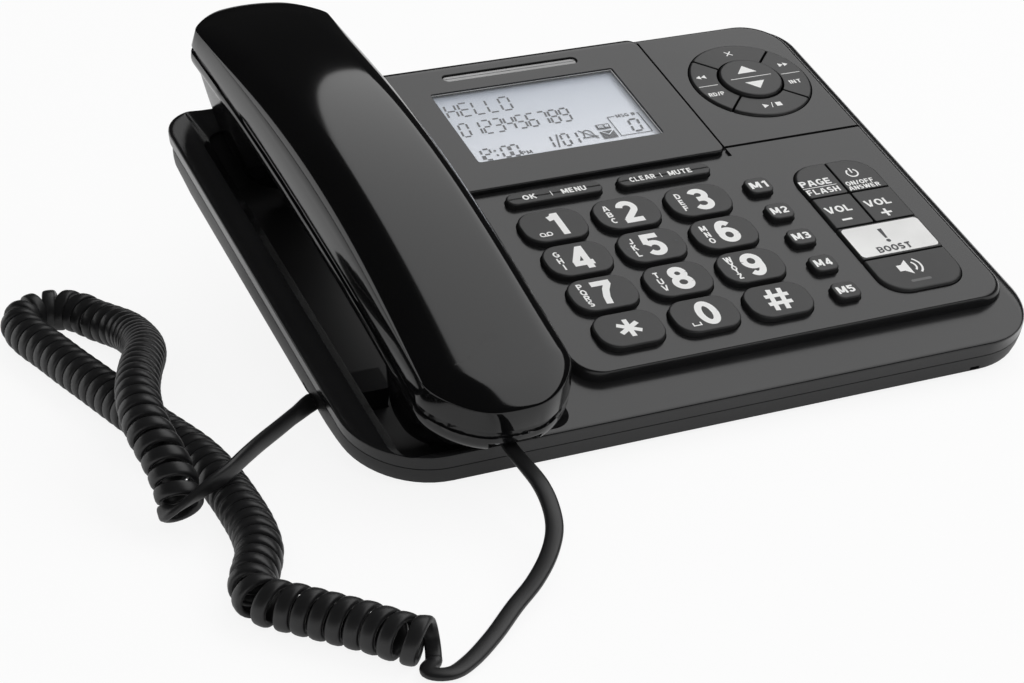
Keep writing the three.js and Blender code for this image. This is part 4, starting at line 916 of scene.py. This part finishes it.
for turn, (name, prints) in enumerate(ring_prints.items()):
    ring = disc_stack(name + "_cap", dial_radius, ring_z)
    inner = loft("inner", [dial_ring(ring_inner, z) for z in (cut_low, ring_z + over)])
    a = math.radians(90 * turn)
    way, low_way, high_way = (Vector((math.cos(a + t), math.sin(a + t)))
                              for t in (0, -math.pi / 4, math.pi / 4))
    apex = way * split_gap * math.sqrt(0.5)
    outline = [apex, low_way * reach + apex, way * 2 * reach, high_way * reach + apex]
    wedge = loft("wedge", [[(dial_x + p.x, dial_y + p.y, z) for p in outline]
                           for z in (cut_low, ring_z + over)])
    boolean(ring, [inner])
    boolean(ring, [wedge], "INTERSECT")
    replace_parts(settle(ring, body=name, edge=0.3, prints=prints), name)
hub = disc_stack("dial_middle", hub_radius, hub_z)
arrows = [[(dial_x - 3.8 * up, dial_y + 2.7 * up), (dial_x + 3.8 * up, dial_y + 2.7 * up),
           (dial_x, dial_y + 7 * up)] for up in (1, -1)]
arrows.append(bar(dial_x - 8, dial_y, dial_x + 8, dial_y, 0.3))
prints = [flat("arrows", arrows, hub_z + print_lift)]
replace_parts(settle(hub, body="nav_rocker", prints=prints), "nav_rocker")


# Handset. A gloss crown over an arched seam, a shadow groove, and below it the grip between the ear
# block at the back and the mouth block at the front.
hand_x = -83.2
hand_half = 24.2
hand_front, hand_back = -103.5, 113.8
seam_end, seam_middle = 29.3, 34.6
front_radius, back_radius = 18.6, 14.4
front_bulge, back_bulge = 5.5, 6.9
band_height, band_draft = 6.1, 0.9
crown_front, crown_middle, crown_back, crown_shoulder = 8, 17.5, 5.6, 9
groove_z, groove_sink, lip = 2.2, 0.8, 1.4
dome_fall = 1.6
grip_depth, grip_turn = 9, 5.5
hand_wall = 2
rest_gap = 0.4
crown_gloss = moulded("crown_gloss", (0.003, 0.003, 0.0032), 0.07, uneven=0.02)
hand_satin = moulded("hand_satin", (0.004, 0.004, 0.0043), 0.14, uneven=0.03)


def along(y):
    """Place along the handset, from -1 at its front to 1 at its back."""
    return (y - (hand_front + hand_back) / 2) / ((hand_back - hand_front) / 2)


def hand_seam(y):
    """Height of the arched seam: middle - (middle - end) u^2, with u the place along."""
    return seam_middle - (seam_middle - seam_end) * along(y) ** 2


def crown_rise(y):
    """Height of the crown over the seam: a parabola through its front, its middle and its back."""
    u = along(y)
    fall = crown_middle - (crown_front + crown_back) / 2
    return crown_middle + (crown_back - crown_front) / 2 * u - fall * u ** 2


def dome(x):
    """How far the crown falls away to its sides: fall (x / half)^2."""
    return dome_fall * (x / hand_half) ** 2


def hand_ring(inset, height):
    """Outline of the handset, drawn in by an inset, at a height over its seam. Its ends bulge: y
    moves in by bulge (x / half)^2, fading out over the corner."""
    half = hand_half - inset
    front, back = hand_front + inset, hand_back - inset
    near = min(max(front_radius - inset, front_radius / 8), half * 0.95)
    far = min(max(back_radius - inset, back_radius / 8), half * 0.95)
    turn = np.radians(np.linspace(0, 90, 17))
    run = np.linspace(front + near, back - far, 50)[1:-1]
    start, end = np.linspace(0, half - near, 6)[:-1], np.linspace(half - far, 0, 6)[1:]
    x = np.concatenate([start, half - near + near * np.sin(turn), np.full(len(run), half),
                        half - far + far * np.cos(turn), end])
    y = np.concatenate([np.full(len(start), front), front + near * (1 - np.cos(turn)), run,
                        back - far * (1 - np.sin(turn)), np.full(len(end), back)])
    y = y + front_bulge * (x / half) ** 2 * np.maximum(0, 1 - (y - front) / near)
    y = y - back_bulge * (x / half) ** 2 * np.maximum(0, 1 - (back - y) / far)
    z = hand_seam(y) + (height(x, y) if callable(height) else height)
    right = np.stack([hand_x + x, y, z], 1)
    left = np.stack([hand_x - x, y, z], 1)[::-1]
    return np.concatenate([right, left])


def crown_rings(by, drop):
    """Rings of the crown, drawn in by a wall: an upright band, a rolled shoulder and the arched
    top. The shoulder rises from the band to the top as a quarter ellipse."""
    def top(x, y):
        """Height of the arched top over the seam: the rise less the fall to the sides."""
        return crown_rise(y) - dome(x)

    rings = [hand_ring(by, 0.15 - drop), hand_ring(band_draft + by, band_height - by)]
    for a in np.pi / 2 * np.linspace(0, 1, 15)[1:]:
        inset = band_draft + crown_shoulder * (1 - math.cos(a)) + by
        rings.append(hand_ring(
            inset, lambda x, y: band_height + (top(x, y) - band_height) * math.sin(a) - by))
    flat_from = band_draft + crown_shoulder
    for share in (0.15, 0.3, 0.45, 0.6, 0.75, 0.88, 0.96):
        inset = flat_from + (hand_half - flat_from) * share
        rings.append(hand_ring(inset, lambda x, y: top(x, y) - by))
    return rings


crown = loft("handset_crown", crown_rings(0, 0), crown_gloss, bridged=True)
boolean(crown, [loft("inside", crown_rings(hand_wall, 1), bridged=True)])
settle(crown, body="handset", edge=0.15, weigh=False)
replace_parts(crown, "handset_back_shell")


def block_rings(bottom, top, radii, share, by=0.0):
    """Rings of the ear or the mouth block, from its foot to the seam, widening as height^share."""
    rings = []
    for t in np.linspace(0, 1, 17):
        box = grown(mixed(bottom, top, t ** share), -by)
        radius = max(radii[0] + (radii[1] - radii[0]) * t - by, 1)
        foot = well_z + rest_gap + by
        rings.append(box_ring(
            box, radius, lambda x, y: foot + (hand_seam(y) - groove_z - foot) * t, 10))
    return rings


top_half = hand_half - groove_sink
ear = (
    (hand_x - 18.5, hand_x + 18.5, 50, 79.5),
    (hand_x - top_half, hand_x + top_half, 42, hand_back - groove_sink),
    (12, back_radius + groove_sink), 0.65)
mouth = (
    (hand_x - 18, hand_x + 18, -79.5, -52),
    (hand_x - top_half, hand_x + top_half, hand_front + groove_sink, -46),
    (11, front_radius + groove_sink), 0.8)
lip_z = -groove_z - lip
grip = [hand_ring(grip_turn * (1 - math.sin(a)), lip_z - (grip_depth + lip_z) * math.cos(a))
        for a in np.pi / 2 * np.linspace(0, 1, 10)]
grip += [hand_ring(0, -groove_z), hand_ring(groove_sink, -groove_z), hand_ring(groove_sink, -0.15)]
face = loft("handset_face", grip, hand_satin, bridged=True)
boolean(face, [loft("block", block_rings(*block)) for block in (ear, mouth)], "UNION")
tray = loft("tray", [
    hand_ring(grip_turn + hand_wall, hand_wall - grip_depth),
    hand_ring(hand_wall + groove_sink, lip_z),
    hand_ring(hand_wall + groove_sink, over)], bridged=True)
socket_hole = prism("socket", around(hand_x, -86.35, 10.4, 13.3), 0.3, 16.35, 24.85, 2)
recess_box = around(hand_x, -98.75, 17, 11.5)
recess = loft("recess", [
    box_ring(grown(recess_box, -2.5)[:2] + recess_box[2:], 0.6, 15.85, 3),
    box_ring(recess_box, 0.6, 25.35, 3)])
hollows = [loft("hollow", block_rings(*block, hand_wall)) for block in (ear, mouth)]
boolean(face, [tray, *hollows, socket_hole, recess])
settle(face, body="handset", edge=0.2, weigh=False)
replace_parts(face, "handset_face_shell")


# Cord. A lead from the base, a long curly run that lies over itself on the table, and a lead up to
# the handset, all of one flat cord. The points are the line of the curls' axis, and of each lead,
# in millimetres on the table. The jacks are where the cord's plugs hold it.
cord_width, cord_thick = 4.4, 2.3
coil_radius = 5.6
coil_pitch = 5.2
coil_tight = 4.75
coil_starts, coil_leaves = 115, 166
base_count, hand_count = 130, 140
MOVED = np.array([-0.00125, 0.003589, 0])
coil_points = MM * np.array([
    (-173.8, -80, 8), (-173.4, -73.5, 13), (-173.7, -65.5, 17.5), (-174.1, -56.6, 20.4),
    (-173.1, -46.1, 22.3), (-169.8, -32.8, 23), (-163.5, -15.9, 21.5), (-154.8, 5.8, 17.4),
    (-149.9, 26.5, 12.4), (-148.8, 43.1, 9.2), (-150.7, 53.6, 7.6), (-153.7, 62.1, 7),
    (-155.3, 67.4, 7), (-158.6, 72.3, 7), (-163.7, 74.9, 7), (-169.4, 74.6, 7), (-174, 71.3, 7),
    (-176.3, 66, 7), (-176.2, 56, 7), (-173.9, 42.5, 7), (-171.8, 28.5, 7), (-169.4, 14.6, 7),
    (-167.3, 1.5, 7), (-162.8, -25.4, 7), (-158.3, -49.4, 7), (-157.6, -66.3, 7),
    (-158.7, -85.9, 7), (-160.5, -101.1, 7), (-163.4, -112.6, 7), (-167.6, -121.2, 7),
    (-171.4, -128.6, 7), (-172.6, -135, 7), (-170.3, -140.6, 7), (-166.5, -145, 7),
    (-161.6, -151.3, 7), (-156.8, -157.5, 7), (-152, -163.7, 7), (-148.2, -169.8, 7),
    (-144.8, -174.2, 7), (-141.2, -176.6, 7),
])
base_lead_points = MM * np.array([
    (-119, -40.5, 12.8), (-126.5, -48.4, 14.2), (-136.4, -58.9, 15.8), (-145.9, -68.7, 17.2),
    (-154.2, -77, 17.8), (-161.3, -82.6, 16.9), (-166.8, -84.2, 15.2), (-171.3, -84.5, 13),
    (-175.6, -84.2, 10.6), (-178.4, -82.8, 8.8),
])
hand_lead_points = MM * np.array([
    (-144.1, -180.2, 1.8), (-144.5, -182.8, 2), (-142.6, -184.7, 2.1), (-139.2, -185, 2),
    (-133, -181.5, 1.8), (-122.7, -173.5, 2.4), (-112, -164.2, 3.9), (-102.9, -157.6, 6),
    (-95.2, -150.4, 8.6), (-89.4, -142.3, 11), (-86, -133.5, 13), (-83.9, -122.6, 15),
])
base_jack = np.array([-0.11180, -0.03297, 0.01130])
hand_jack = np.array([-0.08445, -0.09543, 0.01845])


def curve_through(points, steps=24):
    """Centripetal Catmull-Rom curve. Its knots lie sqrt(distance) apart, and a span from b to c is
    (2b - 2c + m + n) s^3 + (3c - 3b - 2m - n) s^2 + m s + b, with the end slopes m and n."""
    padded = np.vstack([2 * points[0] - points[1], points, 2 * points[-1] - points[-2]])
    a, b, c, d = padded[:-3], padded[1:-2], padded[2:-1], padded[3:]
    first, second, third = (np.sqrt(np.linalg.norm(v - u, axis=1))[:, None]
                            for u, v in ((a, b), (b, c), (c, d)))
    m = ((b - a) / first - (c - a) / (first + second) + (c - b) / second) * second
    n = ((c - b) / second - (d - b) / (second + third) + (d - c) / third) * second
    s = np.linspace(0, 1, steps, endpoint=False)[:, None, None]
    spans = (2 * b - 2 * c + m + n) * s ** 3 + (3 * c - 3 * b - 2 * m - n) * s ** 2 + m * s + b
    return np.vstack([spans.transpose(1, 0, 2).reshape(-1, 3), points[-1]])


def evenly(line, count):
    """The same line through points that lie evenly along it, and its length."""
    reach = np.append(0, np.cumsum(np.linalg.norm(np.diff(line, axis=0), axis=1)))
    where = np.linspace(0, reach[-1], count)
    return np.stack([np.interp(where, reach, line[:, i]) for i in range(3)], 1), reach[-1]


def across(heading):
    """For each heading, the direction to its left and the one upright to both."""
    left = unit(np.cross((0, 0, 1), heading))
    return left, np.cross(heading, left)


def coil_line():
    """The middle of the cord along the curls, axis + r (up cos t + left sin t), and the way ahead
    along their axis. They run against the clock round it, and wider apart where it bends."""
    axis, length = evenly(curve_through(coil_points + MOVED), 1700)
    step = length / (len(axis) - 1)
    heading = unit(np.gradient(axis, axis=0))
    lag = 10
    bend = np.arccos(np.clip((heading[2 * lag:] * heading[:-2 * lag]).sum(1), -1, 1))
    bend = np.pad(bend / (2 * lag * step), lag, mode="edge")
    share = np.minimum((coil_radius + cord_thick / 2) * MM * bend, 0.2)
    pitch = np.maximum(coil_pitch, coil_tight / (1 - share)) * MM
    turns = np.append(0, np.cumsum(step / pitch[1:]))
    turns *= (math.floor(turns[-1]) + (coil_leaves - coil_starts) / 360) / turns[-1]
    per_turn = 30
    where = np.linspace(0, turns[-1], round(turns[-1] * per_turn) + 1)
    middle, ahead = (np.stack([np.interp(where, turns, v[:, i]) for i in range(3)], 1)
                     for v in (axis, heading))
    ahead = unit(ahead)
    left, upright = across(ahead)
    angle = 2 * np.pi * where[:, None] + math.radians(coil_starts)
    out = upright * np.cos(angle) + left * np.sin(angle)
    return middle + out * coil_radius * MM, ahead


def cord_tube(name, line, wide, thick, sides=16):
    """A flat cord carried along a line, with the two directions across it at each point. Its
    section is the rounded oblong (w |cos|^0.7, t |sin|^0.7)."""
    turn = np.linspace(0, 2 * np.pi, sides, endpoint=False)
    c, s = (np.sign(v(turn)) * np.abs(v(turn)) ** 0.7 for v in (np.cos, np.sin))
    rings = line[:, None] + wide[:, None] * (cord_width / 2 * MM * c)[None, :, None]
    rings = rings + thick[:, None] * (cord_thick / 2 * MM * s)[None, :, None]
    return loft(name, rings / MM, cord_black)


def lead_line(start, start_way, middle, end, end_way, count, pulls):
    """A lead's line, and its headings, between two ends that each give a point, a heading and the
    length that it keeps to it."""
    near, far = start + start_way * pulls[0] * MM, end - end_way * pulls[1] * MM
    line, _ = evenly(curve_through(np.vstack([start, near, middle + MOVED, far, end])), count)
    heading = unit(np.gradient(line, axis=0))
    heading[0], heading[-1] = start_way, end_way
    return line, heading


def turned(heading, wide, places, swell, swells_by, thins_from):
    """The two directions across a lead, from its wide side at a few points of it, each eased into
    the next. Between two more points it is wider by a factor, and at its ends as the curls are."""
    here = np.arange(len(heading))
    wide = np.stack([np.interp(here, places, [w[i] for w in wide]) for i in range(3)], 1)
    wide = unit(wide - heading * (wide * heading).sum(1)[:, None])
    width = np.interp(here, (0, swells_by, thins_from, here[-1]), (1, swell, swell, 1))[:, None]
    return wide * width, np.cross(heading, wide)


cord_black = moulded("cord_black", black, 0.4, uneven=0.05)
curls, ahead = coil_line()
first_way, last_way = unit(curls[1] - curls[0]), unit(curls[-1] - curls[-2])
up = np.array([0, 0, 1.0])
jack_way = np.array([-1.0, 0, 0])
base_line, heading = lead_line(
    base_jack, jack_way, base_lead_points, curls[0], first_way, base_count, (4.4, 1.2))
base_wide, base_thick = turned(
    heading, [(0, 1, 0), (0, 0.5, 0.6), up, up, (0, -0.7, 0.7), -ahead[0]],
    (base_count - 1) * np.array((0, 0.12, 0.25, 0.75, 0.88, 1)), 1.28, 15, 110)
curl_thick = np.cross(unit(np.gradient(curls, axis=0)), -ahead)
line = np.vstack([base_line, curls[1:]])
curly = cord_tube("curly_cord_run", line, np.vstack([base_wide, -ahead[1:]]),
                  np.vstack([base_thick, curl_thick[1:]]))
settle(curly, place=None, crease=60, weigh=False)
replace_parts(curly, "base_lead", "curly_cord")

hand_way = np.array([0, math.cos(tip), math.sin(tip)])
hand_line, heading = lead_line(
    curls[-1], last_way, hand_lead_points, hand_jack, hand_way, hand_count, (1.2, 4.4))
flat_way = np.cross(up, heading)
flat_way[0], flat_way[-1] = ahead[-1], (-1, 0, 0)
places = [0, 4, 9, 14, 20, 30, 50, 80, 100, hand_count - 1]
hand_wide, hand_thick = turned(heading, flat_way[places], places, 1.15, 20, 120)
lead = cord_tube("handset_lead_run", hand_line, hand_wide, hand_thick)
lead.data.shade_smooth()
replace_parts(lead, "handset_lead")
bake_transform(lead)


# Pieces kept from the CAD model: sockets, plugs, feet, the stand, the plunger and what lies inside.
# They only take materials.
socket_black = moulded("socket_black", (0.008, 0.008, 0.009), 0.4)
rubber = moulded("rubber_grey", (0.018, 0.018, 0.019), 0.75, grain=0.3)
board_green = moulded("board_green", (0.02, 0.09, 0.04), 0.4, coat=0.3)
steel = moulded("steel_satin", (0.55, 0.56, 0.57), 0.35, metallic=1.0)
silicone = moulded("silicone_grey", (0.2, 0.2, 0.2), 0.6)
plug_clear = moulded("plug_clear", (0.75, 0.77, 0.78), 0.12, alpha=0.35)
finishes = {
    shell_satin: ("desk_stand", "hook_plunger"),
    socket_black: ("base_cord_socket", "handset_cord_socket", "line_socket", "power_socket"),
    rubber: ("front_foot_left", "front_foot_right", "stand_foot_left", "stand_foot_right"),
    board_green: ("main_board",),
    steel: ("hook_spring", "loudspeaker", "receiver_capsule", "microphone_capsule"),
    silicone: ("keypad_sheet",),
    plug_clear: ("base_plug", "handset_plug"),
}
for material, names in finishes.items():
    for name in names:
        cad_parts[name].data.materials.clear()
        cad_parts[name].data.materials.append(material)
